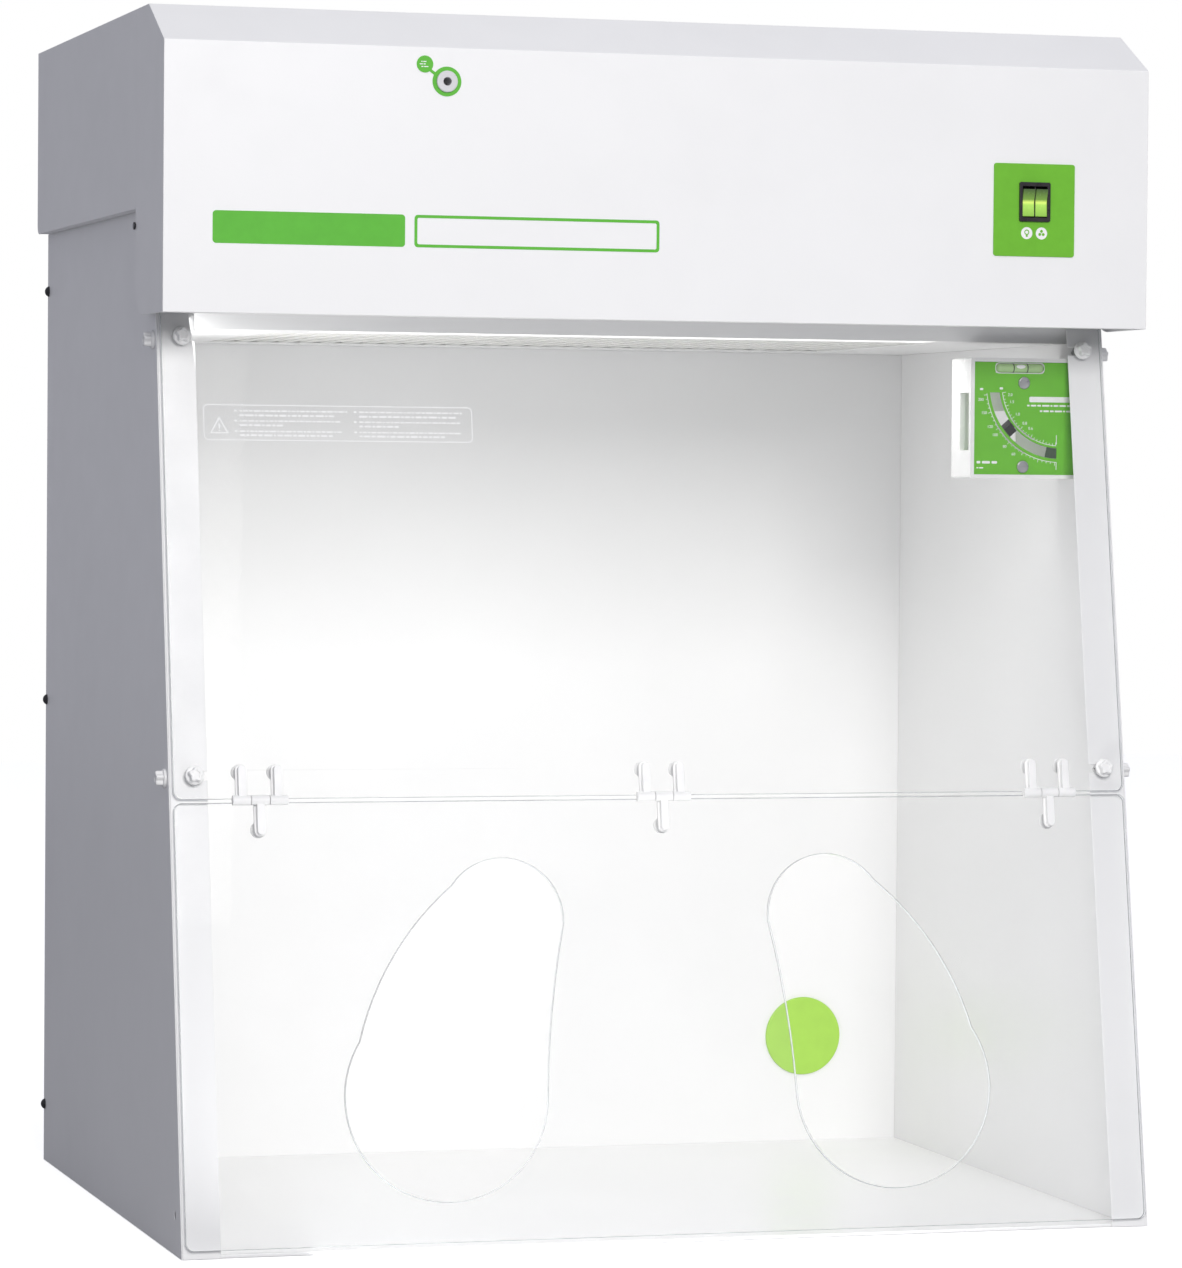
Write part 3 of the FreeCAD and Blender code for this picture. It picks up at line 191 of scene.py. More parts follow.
class Surface:
    """A Principled material whose colour, roughness and bump vary in object space."""

    def __init__(self, name, colour, roughness=0.4, metallic=0.0, alpha=1.0):
        self.material = bpy.data.materials.new(name)
        self.material.use_nodes = True
        self.tree = self.material.node_tree
        self.shader = self.tree.nodes["Principled BSDF"]
        self.colour = colour
        self.roughness = roughness
        self.shader.inputs["Metallic"].default_value = metallic
        self.shader.inputs["Alpha"].default_value = alpha
        self.place = self.tree.nodes.new("ShaderNodeTexCoord").outputs["Object"]

    def set(self, socket, value):
        self.shader.inputs[socket].default_value = value
        return self

    def stretched(self, scale):
        mapping = self.tree.nodes.new("ShaderNodeMapping")
        mapping.inputs["Scale"].default_value = scale
        self.tree.links.new(self.place, mapping.inputs["Vector"])
        return mapping.outputs["Vector"]

    def noise(self, scale, detail=3.0, stretch=(1, 1, 1)):
        node = self.tree.nodes.new("ShaderNodeTexNoise")
        node.inputs["Scale"].default_value = scale
        node.inputs["Detail"].default_value = detail
        self.tree.links.new(self.stretched(stretch), node.inputs["Vector"])
        return node.outputs["Fac"]

    def spread(self, source, low, high):
        node = self.tree.nodes.new("ShaderNodeMapRange")
        node.inputs["From Min"].default_value = NOISE_LOW
        node.inputs["From Max"].default_value = NOISE_HIGH
        node.inputs["To Min"].default_value = low
        node.inputs["To Max"].default_value = high
        self.tree.links.new(source, node.inputs["Value"])
        return node.outputs["Result"]

    def vary_colour(self, amount, scale, detail=3.0, stretch=(1, 1, 1)):
        ramp = self.tree.nodes.new("ShaderNodeValToRGB")
        ramp.color_ramp.elements[0].position = NOISE_LOW
        ramp.color_ramp.elements[1].position = NOISE_HIGH
        for element, share in zip(ramp.color_ramp.elements, (1.0 - amount, 1.0 + amount)):
            element.color = [min(1.0, channel * share) for channel in self.colour] + [1.0]
        self.tree.links.new(self.noise(scale, detail, stretch), ramp.inputs["Fac"])
        self.tree.links.new(ramp.outputs["Color"], self.shader.inputs["Base Color"])
        return self

    def vary_roughness(self, amount, scale, stretch=(1, 1, 1)):
        source = self.noise(scale, 4.0, stretch)
        value = self.spread(source, self.roughness - amount, self.roughness + amount)
        self.tree.links.new(value, self.shader.inputs["Roughness"])
        return self

    def bump(self, distance, scale, detail=2.0, strength=0.5, stretch=(1, 1, 1)):
        node = self.tree.nodes.new("ShaderNodeBump")
        node.inputs["Strength"].default_value = strength
        node.inputs["Distance"].default_value = distance
        self.tree.links.new(self.noise(scale, detail, stretch), node.inputs["Height"])
        self.tree.links.new(node.outputs["Normal"], self.shader.inputs["Normal"])
        return self

    def shine(self, colour, strength):
        self.shader.inputs["Emission Color"].default_value = (*colour, 1.0)
        self.shader.inputs["Emission Strength"].default_value = strength
        return self


def powder_coat(name, colour):
    surface = Surface(name, colour, 0.36)
    surface.vary_colour(0.012, 6.0).vary_roughness(0.06, 35.0)
    return surface.bump(0.00012, 520.0, 2.0, 0.35).material


def moulded(name, colour, roughness=0.38, grain=0.0001):
    surface = Surface(name, colour, roughness)
    surface.vary_colour(0.03, 60.0).vary_roughness(0.07, 140.0)
    return surface.bump(grain, 1500.0, 2.0, 0.4).material


def printed(name, colour, roughness=0.45):
    surface = Surface(name, colour, roughness).set("Specular IOR Level", 0.2)
    surface.vary_colour(0.035, 110.0, 5.0).vary_roughness(0.05, 300.0)
    return surface.bump(0.00003, 2600.0, 1.0, 0.3).material


def bare_steel(name, colour, stretch=(1, 14, 1)):
    surface = Surface(name, colour, 0.34, 1.0)
    surface.vary_colour(0.10, 90.0, 5.0, stretch).vary_roughness(0.09, 160.0, stretch)
    return surface.bump(0.00003, 900.0, 3.0, 0.3, stretch).material


def galvanised(name, colour):
    surface = Surface(name, colour, 0.42, 0.9)
    surface.vary_colour(0.16, 85.0, 1.0).vary_roughness(0.12, 70.0)
    return surface.bump(0.00004, 300.0, 2.0, 0.3).material


def clear_sheet(name):
    surface = Surface(name, (0.35, 0.37, 0.37), 0.03, 0.0, 0.04)
    surface.vary_colour(0.01, 3.0).vary_roughness(0.015, 8.0)
    return surface.set("IOR", ACRYLIC_IOR).material


def sheet_edge_painted_highlight(name):
    # The edge's near-white colour is a painted highlight: the light that the clear acrylic carries to its edges.
    surface = Surface(name, (0.90, 0.92, 0.93), 0.16, 0.0, 0.80)
    surface.vary_colour(0.06, 26.0, 2.0).vary_roughness(0.06, 60.0)
    return surface.set("IOR", ACRYLIC_IOR).bump(0.00006, 400.0, 2.0, 0.5).material


def sheet_arris_painted_shade(name):
    # The arris's dark colour is painted shade along the sheet's edges.
    surface = Surface(name, (0.30, 0.32, 0.33), 0.2, 0.0, 0.65)
    surface.vary_colour(0.45, 22.0, 2.0).vary_roughness(0.08, 60.0)
    return surface.set("IOR", ACRYLIC_IOR).material


def carbon_granules(name):
    surface = Surface(name, (0.03, 0.03, 0.032), 0.7)
    surface.vary_colour(0.5, 700.0, 2.0).vary_roughness(0.15, 400.0)
    return surface.bump(0.0012, 330.0, 3.0, 1.0).material


def fibre_mat(name):
    surface = Surface(name, (0.86, 0.86, 0.83), 0.9)
    surface.vary_colour(0.05, 240.0, 6.0).vary_roughness(0.05, 300.0)
    return surface.set("Sheen Weight", 0.3).bump(0.0006, 900.0, 6.0, 0.8).material


def opal_lamp(name, strength):
    surface = Surface(name, (0.95, 0.95, 0.92), 0.3)
    surface.vary_colour(0.02, 50.0).vary_roughness(0.05, 90.0)
    return surface.shine((1.0, 0.99, 0.95), strength).bump(0.00001, 900.0).material


# Where along the rocker's height each colour stands, between a dark foot and a top in painted shade, with a
# painted highlight across the crest.
ROCKER_FOOT = (0.22, 0.44, 0.06, 1)
ROCKER_SHADED_TOP = (0.05, 0.09, 0.03, 1)
ROCKER_PAINTED_LIGHT_STOPS = ((0.42, (0.36, 0.62, 0.10, 1)), (0.52, (0.62, 0.80, 0.16, 1)),
                (0.62, (0.16, 0.30, 0.05, 1)))
ROCKER_GLOW = 0.35


def rocker_painted_light(name):
    """A translucent rocker lit from inside, with painted shade on its upper end and a painted highlight as a
    bright yellow-green crest.
    """
    surface = Surface(name, (0.30, 0.55, 0.10), 0.25)
    tree = surface.tree
    split = tree.nodes.new("ShaderNodeSeparateXYZ")
    tree.links.new(surface.place, split.inputs["Vector"])
    low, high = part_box("rocker_light")
    height = tree.nodes.new("ShaderNodeMapRange")
    height.inputs["From Min"].default_value = low.z
    height.inputs["From Max"].default_value = high.z
    tree.links.new(split.outputs["Z"], height.inputs["Value"])
    # The ramp paints a highlight across the crest and shade on the upper end, by height, and the glow follows it.
    ramp = tree.nodes.new("ShaderNodeValToRGB")
    stops = ramp.color_ramp.elements
    stops[0].position = 0.0
    stops[0].color = ROCKER_FOOT
    stops[1].position = 1.0
    stops[1].color = ROCKER_SHADED_TOP
    for position, colour in ROCKER_PAINTED_LIGHT_STOPS:
        stops.new(position).color = colour
    tree.links.new(height.outputs["Result"], ramp.inputs["Fac"])
    tree.links.new(ramp.outputs["Color"], surface.shader.inputs["Base Color"])
    tree.links.new(ramp.outputs["Color"], surface.shader.inputs["Emission Color"])
    surface.set("Emission Strength", ROCKER_GLOW)
    return surface.vary_roughness(0.05, 300.0).bump(0.00008, 700.0).material


FLOOR_WHITE = (0.90, 0.90, 0.90)
FLOOR_GLOW = 0.62
FLOOR_BOUNCE = (0.42, 0.42, 0.43, 1)


def studio_floor(name):
    """A white floor: bright to the eye, and pale grey in the light that it throws back."""
    surface = Surface(name, FLOOR_WHITE, 0.7)
    surface.vary_colour(0.004, 2.0).vary_roughness(0.05, 4.0).shine(WHITE, FLOOR_GLOW)
    nodes = surface.tree.nodes
    links = surface.tree.links
    grey = nodes.new("ShaderNodeBsdfDiffuse")
    grey.inputs["Color"].default_value = FLOOR_BOUNCE
    path = nodes.new("ShaderNodeLightPath")
    mix = nodes.new("ShaderNodeMixShader")
    links.new(path.outputs["Is Camera Ray"], mix.inputs["Fac"])
    links.new(grey.outputs["BSDF"], mix.inputs[1])
    links.new(surface.shader.outputs["BSDF"], mix.inputs[2])
    links.new(mix.outputs["Shader"], nodes["Material Output"].inputs["Surface"])
    return surface.material


def make_materials():
    return {
        "white_paint": powder_coat("white_powder_coat", (0.86, 0.86, 0.855)),
        "worktop_white": powder_coat("worktop_coat", (0.95, 0.95, 0.945)),
        "clear_acrylic": clear_sheet("clear_acrylic"),
        "acrylic_edge": sheet_edge_painted_highlight("acrylic_edge"),
        "white_plastic": moulded("white_moulding", (0.86, 0.86, 0.85)),
        "zinc_steel": bare_steel("zinc_plate", (0.46, 0.46, 0.47)),
        "black_steel": moulded("black_oxide", (0.02, 0.02, 0.024), 0.3),
        "switch_green": printed("switch_green", (0.16, 0.48, 0.035)),
        "black_plastic": moulded("black_moulding", (0.016, 0.012, 0.015), 0.32),
        "rocker_green": rocker_painted_light("rocker_painted_light"),
        "cap_green": moulded("cap_green", (0.376, 0.66, 0.088), 0.42),
        "label_green": printed("label_green", (0.115, 0.48, 0.045)),
        "gauge_white": moulded("gauge_moulding", (0.86, 0.86, 0.85), 0.22),
        "dial_green": printed("dial_green", (0.15, 0.50, 0.035)),
        "vane_black": moulded("vane_black", (0.012, 0.012, 0.013), 0.45),
        "level_glass": moulded("level_tube", (0.42, 0.62, 0.30), 0.10),
        "port_grey": moulded("port_grey", (0.62, 0.62, 0.63), 0.35),
        "galvanised": galvanised("galvanised_sheet", (0.60, 0.61, 0.62)),
        "filter_fibre": fibre_mat("filter_fibre"),
        "carbon": carbon_granules("carbon_granules"),
        "gasket": moulded("foam_gasket", (0.03, 0.03, 0.03), 0.8, 0.0004),
        "fan_black": moulded("fan_nylon", (0.025, 0.025, 0.028), 0.5),
        "motor_grey": powder_coat("motor_grey", (0.10, 0.105, 0.115)),
        "diffuser": opal_lamp("lit_diffuser", 0.8),
        "lamp_glass": opal_lamp("lit_tube", 3.0),
        "print_white": printed("white_print", (0.88, 0.88, 0.88), 0.5),
        "print_dark": printed("dark_print", (0.06, 0.09, 0.06), 0.5),
        "acrylic_arris": sheet_arris_painted_shade("acrylic_arris"),
        "floor": studio_floor("floor"),
    }


# ---------------------------------------------------------------- mesh tools

SMOOTH_ANGLE = math.radians(35.0)
BEVEL_ANGLE = math.radians(25.0)
FLAT_ANGLE = math.radians(0.5)
WELD = 1e-6
ALONG = 0.99
SHEET_BEVEL = 0.4 * MM
SHEET_LIFT = 0.25 * MM


def add_piece(name, mesh, body, materials, node=None):
    """Links a mesh as a piece that rides on a CAD body and may stand for a CAD node."""
    piece = bpy.data.objects.new(name, mesh)
    bpy.context.scene.collection.objects.link(piece)
    for material in materials:
        mesh.materials.append(material)
    mesh.shade_smooth()
    mesh.set_sharp_from_angle(angle=SMOOTH_ANGLE)
    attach(piece, body)
    if node:
        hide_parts(node)
    return piece


def to_mesh(name, work, matrix=None):
    bmesh.ops.recalc_face_normals(work, faces=work.faces)
    if matrix is not None:
        work.transform(matrix)
    mesh = bpy.data.meshes.new(name)
    work.to_mesh(mesh)
    work.free()
    return mesh


def soft_edges(piece, width, material=-1):
    """Rounds the sharp edges. material is the mesh slot that the rounds show, -1 for the faces'."""
    bevel = piece.modifiers.new("soft_edges", "BEVEL")
    bevel.width = width
    bevel.segments = 2
    bevel.limit_method = "ANGLE"
    bevel.angle_limit = BEVEL_ANGLE
    bevel.use_clamp_overlap = False
    bevel.material = material
    normals = piece.modifiers.new("flat_faces", "WEIGHTED_NORMAL")
    normals.weight = 100
    normals.keep_sharp = False


def clean_copy(node):
    """The CAD node's mesh with its flat triangles merged, ready for a bevel."""
    work = bmesh.new()
    work.from_mesh(NODES[node].data)
    bmesh.ops.remove_doubles(work, verts=work.verts, dist=WELD)
    bmesh.ops.dissolve_limit(work, angle_limit=FLAT_ANGLE, verts=work.verts,
                             edges=work.edges, delimit={"NORMAL"})
    return work


def refine(node, materials, width):
    """A copy of a CAD node with small rounded edges, shown in its place."""
    mesh = to_mesh(node + "_skin", clean_copy(node))
    slot = SLOT_OF[node]
    piece = add_piece(node + "_skin", mesh, BODY_OF[node], [materials[slot]], node)
    soft_edges(piece, width)


def refine_sheet(node, materials):
    """A clear sheet with clear faces, polished edges in a painted highlight, and arrises in painted shade.

    Its back face stands a hair off the posts, so that the two faces aren't in one plane."""
    work = clean_copy(node)
    for face in work.faces:
        # Faces across the sheet stay clear; the edge faces get the painted highlight, and their rounds the painted
        # shade.
        face.material_index = 0 if abs(face.normal.dot(OUT)) > ALONG else 1
    behind = {vert for face in work.faces if face.normal.dot(OUT) < -ALONG
              for vert in face.verts}
    bmesh.ops.translate(work, verts=list(behind), vec=OUT * SHEET_LIFT)
    mesh = to_mesh(node + "_pane", work)
    keys = ("clear_acrylic", "acrylic_edge", "acrylic_arris")
    piece = add_piece(node + "_pane", mesh, BODY_OF[node],
                      [materials[key] for key in keys], node)
    soft_edges(piece, SHEET_BEVEL, keys.index("acrylic_arris"))


def lathe(work, profile, count=48, shape=None):
    """Turns (radius, height, lobed) rings about z. shape(angle) scales a lobed ring's radius."""
    rings = []
    for radius, height, lobed in profile:
        ring = []
        for step in range(count):
            angle = 2 * math.pi * step / count
            reach = radius
            if lobed:
                reach = radius * shape(angle)
            ring.append(work.verts.new((reach * math.cos(angle), reach * math.sin(angle), height)))
        rings.append(ring)
    for low, high in zip(rings, rings[1:]):
        for step in range(count):
            after = (step + 1) % count
            work.faces.new((low[step], low[after], high[after], high[step]))
    work.faces.new(rings[0][::-1])
    work.faces.new(rings[-1])


def rounded_outline(left, bottom, right, top, radius, steps=6):
    """Points anticlockwise round a rectangle with round corners."""
    points = []
    corners = ((right - radius, top - radius, 0), (left + radius, top - radius, 90),
               (left + radius, bottom + radius, 180), (right - radius, bottom + radius, 270))
    for x, y, start in corners:
        for step in range(steps + 1):
            angle = math.radians(start + 90.0 * step / steps)
            points.append((x + radius * math.cos(angle), y + radius * math.sin(angle)))
    return points


def add_slab(work, outline, low, high):
    """A flat plate with this outline between two heights."""
    bottom = [work.verts.new((x, y, low)) for x, y in outline]
    top = [work.verts.new((x, y, high)) for x, y in outline]
    work.faces.new(bottom[::-1])
    work.faces.new(top)
    for index in range(len(outline)):
        after = (index + 1) % len(outline)
        work.faces.new((bottom[index], bottom[after], top[after], top[index]))


def add_frame(work, outer, inner, low, high):
    """A plate between two outlines with the same number of points."""
    loops = []
    for outline, height in ((outer, low), (outer, high), (inner, high), (inner, low)):
        loops.append([work.verts.new((x, y, height)) for x, y in outline])
    count = len(outer)
    for first, second in zip(loops, loops[1:] + loops[:1]):
        for index in range(count):
            after = (index + 1) % count
            work.faces.new((first[index], first[after], second[after], second[index]))


def circle(x, y, radius, count=32):
    return [(x + radius * math.cos(2 * math.pi * step / count),
             y + radius * math.sin(2 * math.pi * step / count)) for step in range(count)]


def sector(radius_low, radius_high, start, end, steps=24):
    """The outline of part of a ring, angles in degrees anticlockwise from +x."""
    outline = []
    for step in range(steps + 1):
        angle = math.radians(start + (end - start) * step / steps)
        outline.append((radius_high * math.cos(angle), radius_high * math.sin(angle)))
    for step in range(steps, -1, -1):
        angle = math.radians(start + (end - start) * step / steps)
        outline.append((radius_low * math.cos(angle), radius_low * math.sin(angle)))
    return outline


# ---------------------------------------------------------------- pieces

# CAD nodes that get rounded edges, and the width of the round in mm.
REFINED = {
    "front_cover": 0.6, "header_housing": 0.6, "side_panel_left": 0.5, "side_panel_right": 0.5,
    "front_post_left": 0.5, "front_post_right": 0.5,
    "side_liner_left": 0.4, "side_liner_right": 0.4,
    "back_wall": 0.4, "back_panel": 0.4, "worktop": 0.6, "ceiling_plate": 0.5,
    "exhaust_grille": 0.5, "switch_plate": 0.35, "switch_body": 0.3, "sampling_port": 0.3,
    "gauge_dial": 0.3,
    "hinge_leaf_left": 0.3, "hinge_leaf_centre": 0.3, "hinge_leaf_right": 0.3,
    "flap_hinge_leaves": 0.3, "cover_screws": 0.5, "power_inlet": 0.3,
    "hinge_pins_and_rivets": 0.6, "flap_rivets": 0.6,
    "terminal_box": 0.8, "motor_bridge": 0.5, "lamp_base": 0.4,
}


def make_refined(materials):
    for node, width in REFINED.items():
        refine(node, materials, width * MM)
    refine_sheet("upper_window", materials)
    refine_sheet("lower_flap", materials)


KNOB_LOBES = 5
LOBE_DEPTH = 0.16
KNOB_STEPS = 60
# (radius, height, lobed) rings in mm, from the flange to the dished top.
KNOB_PROFILE = (
    (8.0, 0.1, False), (8.0, 1.5, False), (7.7, 2.1, False), (7.1, 2.4, False),
    (5.75, 2.5, True), (5.6, 3.0, True), (5.5, 7.4, True), (5.25, 8.2, True),
    (4.7, 8.6, True), (3.5, 8.6, True), (3.0, 8.1, False), (2.9, 7.6, False),
)
STUD_RADIUS = 3.0
STUD_LENGTH = {"front": 13.0, "side": 9.5}
STUD_STEPS = 24


def make_knob(joint_name, materials):
    """A clamping knob: a round flange, a lobed grip with a dished top, and a stud."""
    joint = JOINTS[joint_name]
    node = FIRST_NODE[joint["child"]]
    inward = Vector(joint["axis"])
    outward = -inward if node.startswith("front") else inward
    up = UP if node.startswith("front") else Vector((0, 0, 1))
    matrix = plane_matrix(joint["pos_m"], up.cross(outward), up)

    def lobes(angle):
        return 1.0 + LOBE_DEPTH * math.cos(KNOB_LOBES * (angle - math.pi / 2))

    work = bmesh.new()
    lathe(work, [(radius * MM, height * MM, lobed) for radius, height, lobed in KNOB_PROFILE],
          KNOB_STEPS, lobes)
    length = STUD_LENGTH[node.split("_")[0]]
    lathe(work, [(STUD_RADIUS * MM, height * MM, False) for height in (-length, 0.0)], STUD_STEPS)
    mesh = to_mesh(node + "_grip", work, matrix)
    add_piece(node + "_grip", mesh, joint["child"],
              [materials["white_plastic"]], node)


FILM = 0.15 * MM
# The bars in a line of small print: lengths, gap and corner radius in line heights.
WORDS = (1.6, 3.4, 2.3, 4.6, 1.2, 3.0, 4.1, 2.0, 3.7, 1.5, 2.7)
WORD_GAP = 0.7
WORD_ROUND = 0.3


def add_words(work, left, right, middle, height, low, high, first=0):
    """A row of short bars that stands for a line of small print."""
    x = left
    index = first
    while True:
        length = WORDS[index % len(WORDS)] * height
        if x + length > right:
            break
        add_slab(work, rounded_outline(x, middle - height / 2, x + length, middle + height / 2,
                                       height * WORD_ROUND, 2), low, high)
        x += length + height * WORD_GAP
        index += 1


# left, bottom, right, top and corner radius on the header's face
HEADER_BAR = (-0.3935, 0.8330, -0.2300, 0.8600, 3 * MM)
HEADER_FRAME_OUTER = (-0.2220, 0.8330, -0.0085, 0.8600, 3 * MM)
HEADER_FRAME_INNER = (-0.2195, 0.8355, -0.0110, 0.8575, 1.5 * MM)
# The small disc beside the port: its middle from the label's corner, and its lines in mm.
DISC_MIDDLE = 7.1 * MM
DISC_LINE_REACHES = (3.4, 4.6, 3.2)
DISC_LINE_PITCH = 2.1
DISC_LINE_HEIGHT = 0.8 * MM


def make_header_print(materials):
    """Plain printed marks on the header and the small disc beside the port."""
    work = bmesh.new()
    add_slab(work, rounded_outline(*HEADER_BAR), 0, FILM)
    add_frame(work, rounded_outline(*HEADER_FRAME_OUTER), rounded_outline(*HEADER_FRAME_INNER),
              0, FILM)
    mesh = to_mesh("header_bars", work, HEADER_FACE)
    add_piece("header_bars", mesh, "hood", [materials["label_green"]])

    label_low, label_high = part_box("port_label")
    lift = FACE_Y - label_low.y
    x = label_low.x + DISC_MIDDLE
    z = label_high.z - DISC_MIDDLE
    work = bmesh.new()
    for row, reach in enumerate(DISC_LINE_REACHES):
        add_words(work, x - reach * MM, x + reach * MM, z + DISC_LINE_PITCH * (1 - row) * MM,
                  DISC_LINE_HEIGHT, lift, lift + FILM, row)
    mesh = to_mesh("port_label_print", work, HEADER_FACE)
    add_piece("port_label_print", mesh, "hood", [materials["print_white"]])


WINDOW_THICK = 5.0 * MM
# left, bottom, right and top of the label, up the leaning front
LABEL_BOX = (-0.3880, 0.6795, -0.1552, 0.7100)
LABEL_ROUND = 4 * MM
LABEL_LINE = 0.8 * MM
# The warning triangle: its middle from the label's top left corner, and its two reaches.
TRIANGLE_RIGHT = 13.5 * MM
TRIANGLE_DOWN = 20.0 * MM
TRIANGLE_REACHES = (9.4 * MM, 7.4 * MM)
TRIANGLE_CORNERS = (90, 210, 330)
# The mark in the triangle, in mm about the middle: the stroke's corners, and the dot.
STROKE = ((-0.5, -0.6), (0.5, -0.6), (0.8, 3.6), (-0.8, 3.6))
DOT_DOWN = 2.2 * MM
DOT_RADIUS = 0.75 * MM
# In mm: where the columns start and end, and how far down each row lies, with its filled share.
LABEL_COLUMNS = ((31.0, 124.0), (134.0, 227.0))
LABEL_ROWS = ((5.3, 1.0), (9.1, 0.93), (13.8, 0.97), (17.5, 0.40), (22.6, 0.98), (26.0, 0.86))
ROW_HEIGHTS = (1.3 * MM, 1.6 * MM)
BULLET_START = 4.5
BULLET_END = 1.5
BULLET_HEIGHT = 1.5 * MM


def make_window_label(materials):
    """A framed caution label on the window: a warning triangle and two columns of small print."""
    low = WINDOW_THICK
    high = low + FILM
    left, bottom, right, top = LABEL_BOX
    work = bmesh.new()
    outer = rounded_outline(left, bottom, right, top, LABEL_ROUND)
    inner = rounded_outline(left + LABEL_LINE, bottom + LABEL_LINE, right - LABEL_LINE,
                            top - LABEL_LINE, LABEL_ROUND - LABEL_LINE)
    add_frame(work, outer, inner, low, high)
    x = left + TRIANGLE_RIGHT
    y = top - TRIANGLE_DOWN
    triangles = [[(x + reach * math.cos(math.radians(angle)),
                   y + reach * math.sin(math.radians(angle))) for angle in TRIANGLE_CORNERS]
                 for reach in TRIANGLE_REACHES]
    add_frame(work, *triangles, low, high)
    add_slab(work, [(x + right_by * MM, y + up_by * MM) for right_by, up_by in STROKE], low, high)
    add_slab(work, circle(x, y - DOT_DOWN, DOT_RADIUS, 12), low, high)
    for column, (start, end) in enumerate(LABEL_COLUMNS):
        for row, (down, share) in enumerate(LABEL_ROWS):
            middle = top - down * MM
            finish = left + (start + (end - start) * share) * MM
            add_words(work, left + start * MM, finish, middle, ROW_HEIGHTS[row % 2], low, high,
                      2 * row + column)
            if row % 2 == 0:
                add_words(work, left + (start - BULLET_START) * MM,
                          left + (start - BULLET_END) * MM, middle, BULLET_HEIGHT, low, high)
    mesh = to_mesh("window_label", work, FRONT_PLANE)
    add_piece("window_label", mesh, "hood", [materials["print_white"]])


# The switch's signs: the discs' height on the header, and the rest in mm about a disc's middle.
ICON_Z = 0.8566
ICON_OFFSET = 6.8 * MM
ICON_DISC = 5.2 * MM
BULB_UP = 0.8 * MM
BULB_RADII = (2.3 * MM, 1.5 * MM)
SOCKET_HALF = 0.9 * MM
SOCKET_LOW = 3.2 * MM
SOCKET_HIGH = 1.4 * MM
SOCKET_ROUND = 0.3 * MM
FAN_BLADES = 3
BLADE_REACH = 1.8 * MM
BLADE_RADIUS = 1.3 * MM


def add_lamp_sign(work, x, low, high):
    add_frame(work, circle(x, ICON_Z + BULB_UP, BULB_RADII[0], 20),
              circle(x, ICON_Z + BULB_UP, BULB_RADII[1], 20), low, high)
    add_slab(work, rounded_outline(x - SOCKET_HALF, ICON_Z - SOCKET_LOW, x + SOCKET_HALF,
                                   ICON_Z - SOCKET_HIGH, SOCKET_ROUND, 3), low, high)


def add_fan_sign(work, x, low, high):
    for blade in range(FAN_BLADES):
        angle = math.radians(90 + 360 / FAN_BLADES * blade)
        outline = circle(x + BLADE_REACH * math.cos(angle), ICON_Z + BLADE_REACH * math.sin(angle),
                         BLADE_RADIUS, 16)
        add_slab(work, outline, low, high)


def make_switch_icons(materials):
    """A lamp sign and a fan sign on two white discs under the rockers."""
    lift = FACE_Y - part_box("switch_plate")[0].y
    body_low, body_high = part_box("switch_body")
    middle = (body_low.x + body_high.x) / 2
    discs = bmesh.new()
    marks = bmesh.new()
    for sign, add_sign in ((-1, add_lamp_sign), (1, add_fan_sign)):
        x = middle + sign * ICON_OFFSET
        add_slab(discs, circle(x, ICON_Z, ICON_DISC), lift, lift + FILM)
        add_sign(marks, x, lift + FILM, lift + 2 * FILM)
    for name, work, slot, key in (("switch_discs", discs, "white_plastic", "print_white"),
                                  ("switch_icons", marks, "switch_green", "switch_green")):
        mesh = to_mesh(name, work, HEADER_FACE)
        add_piece(name, mesh, "hood", [materials[key]])


# The dial's print, in mm and degrees about the vane's pin, anticlockwise from +x.
SCALE_INNER = 53.6
SCALE_OUTER = 68.2
# radius, width, start and end of each arc: two thin ones, and a thick part on each
SCALE_ARCS = ((SCALE_INNER, 0.5, 188.0, 267.5), (SCALE_OUTER, 0.5, 187.0, 268.0),
              (SCALE_INNER - 0.2, 1.1, 213.0, 244.0), (SCALE_OUTER - 0.2, 1.1, 210.0, 242.0))
TICKS = 24
TICK_START = 188.0
TICK_SPAN = 79.0
TICK_HALF_WIDTH = 0.22
LONG_TICK_EVERY = 4
LONG_TICK_EXTRA = 1.2
# How far the ticks reach inwards and outwards from each scale's radius.
OUTER_TICK = (-0.4, 2.0)
INNER_TICK = (1.7, 0.2)
# bottom and top of the two upright lines where the scales end
END_LINES = ((-52.6, -44.5), (-75.0, -68.2))
END_LINE_SIDES = (-2.4, -1.8)
NAME_BAR = (-28, -15.6, 12, -10.8)
NAME_BAR_ROUND = 1.2 * MM
# left, right, middle and height of each line of small print
DIAL_LINES = ((-30, 13, -18.6, 1.5), (-18, 13, -23.4, 1.5), (-77, -48, -68.9, 2.2),
              (-77, -70, -73.8, 1.1), (-74.5, -65, -4.6, 1.9), (-56, -45.5, -3.8, 1.9))
LEVEL_LINE_REACHES = (0.8 * MM, 0.3 * MM)
LEVEL_LINE_ROUND = 3.5 * MM
# inner radius, outer radius, start and end of the dark patch at zero, just behind the face
ZERO_PATCH = (56.1 * MM, 65.2 * MM, 258.5, 268.1)
ZERO_PATCH_BACK = -0.2 * MM
ZERO_PATCH_FRONT = -0.05 * MM
NUMBER_SIZE = 3.6 * MM
NUMBER_OFF_SCALE = 6.6
# degrees past the -x direction, and the number that stands there
OUTER_NUMBERS = ((10.7, "200"), (19.9, "150"), (30.2, "120"), (36.8, "100"), (47.3, "80"),
                 (55.4, "60"))
INNER_NUMBERS = ((11.5, "2.0"), (19.3, "1.5"), (34.1, "1.0"), (46.9, "0.8"), (55.6, "0.6"))


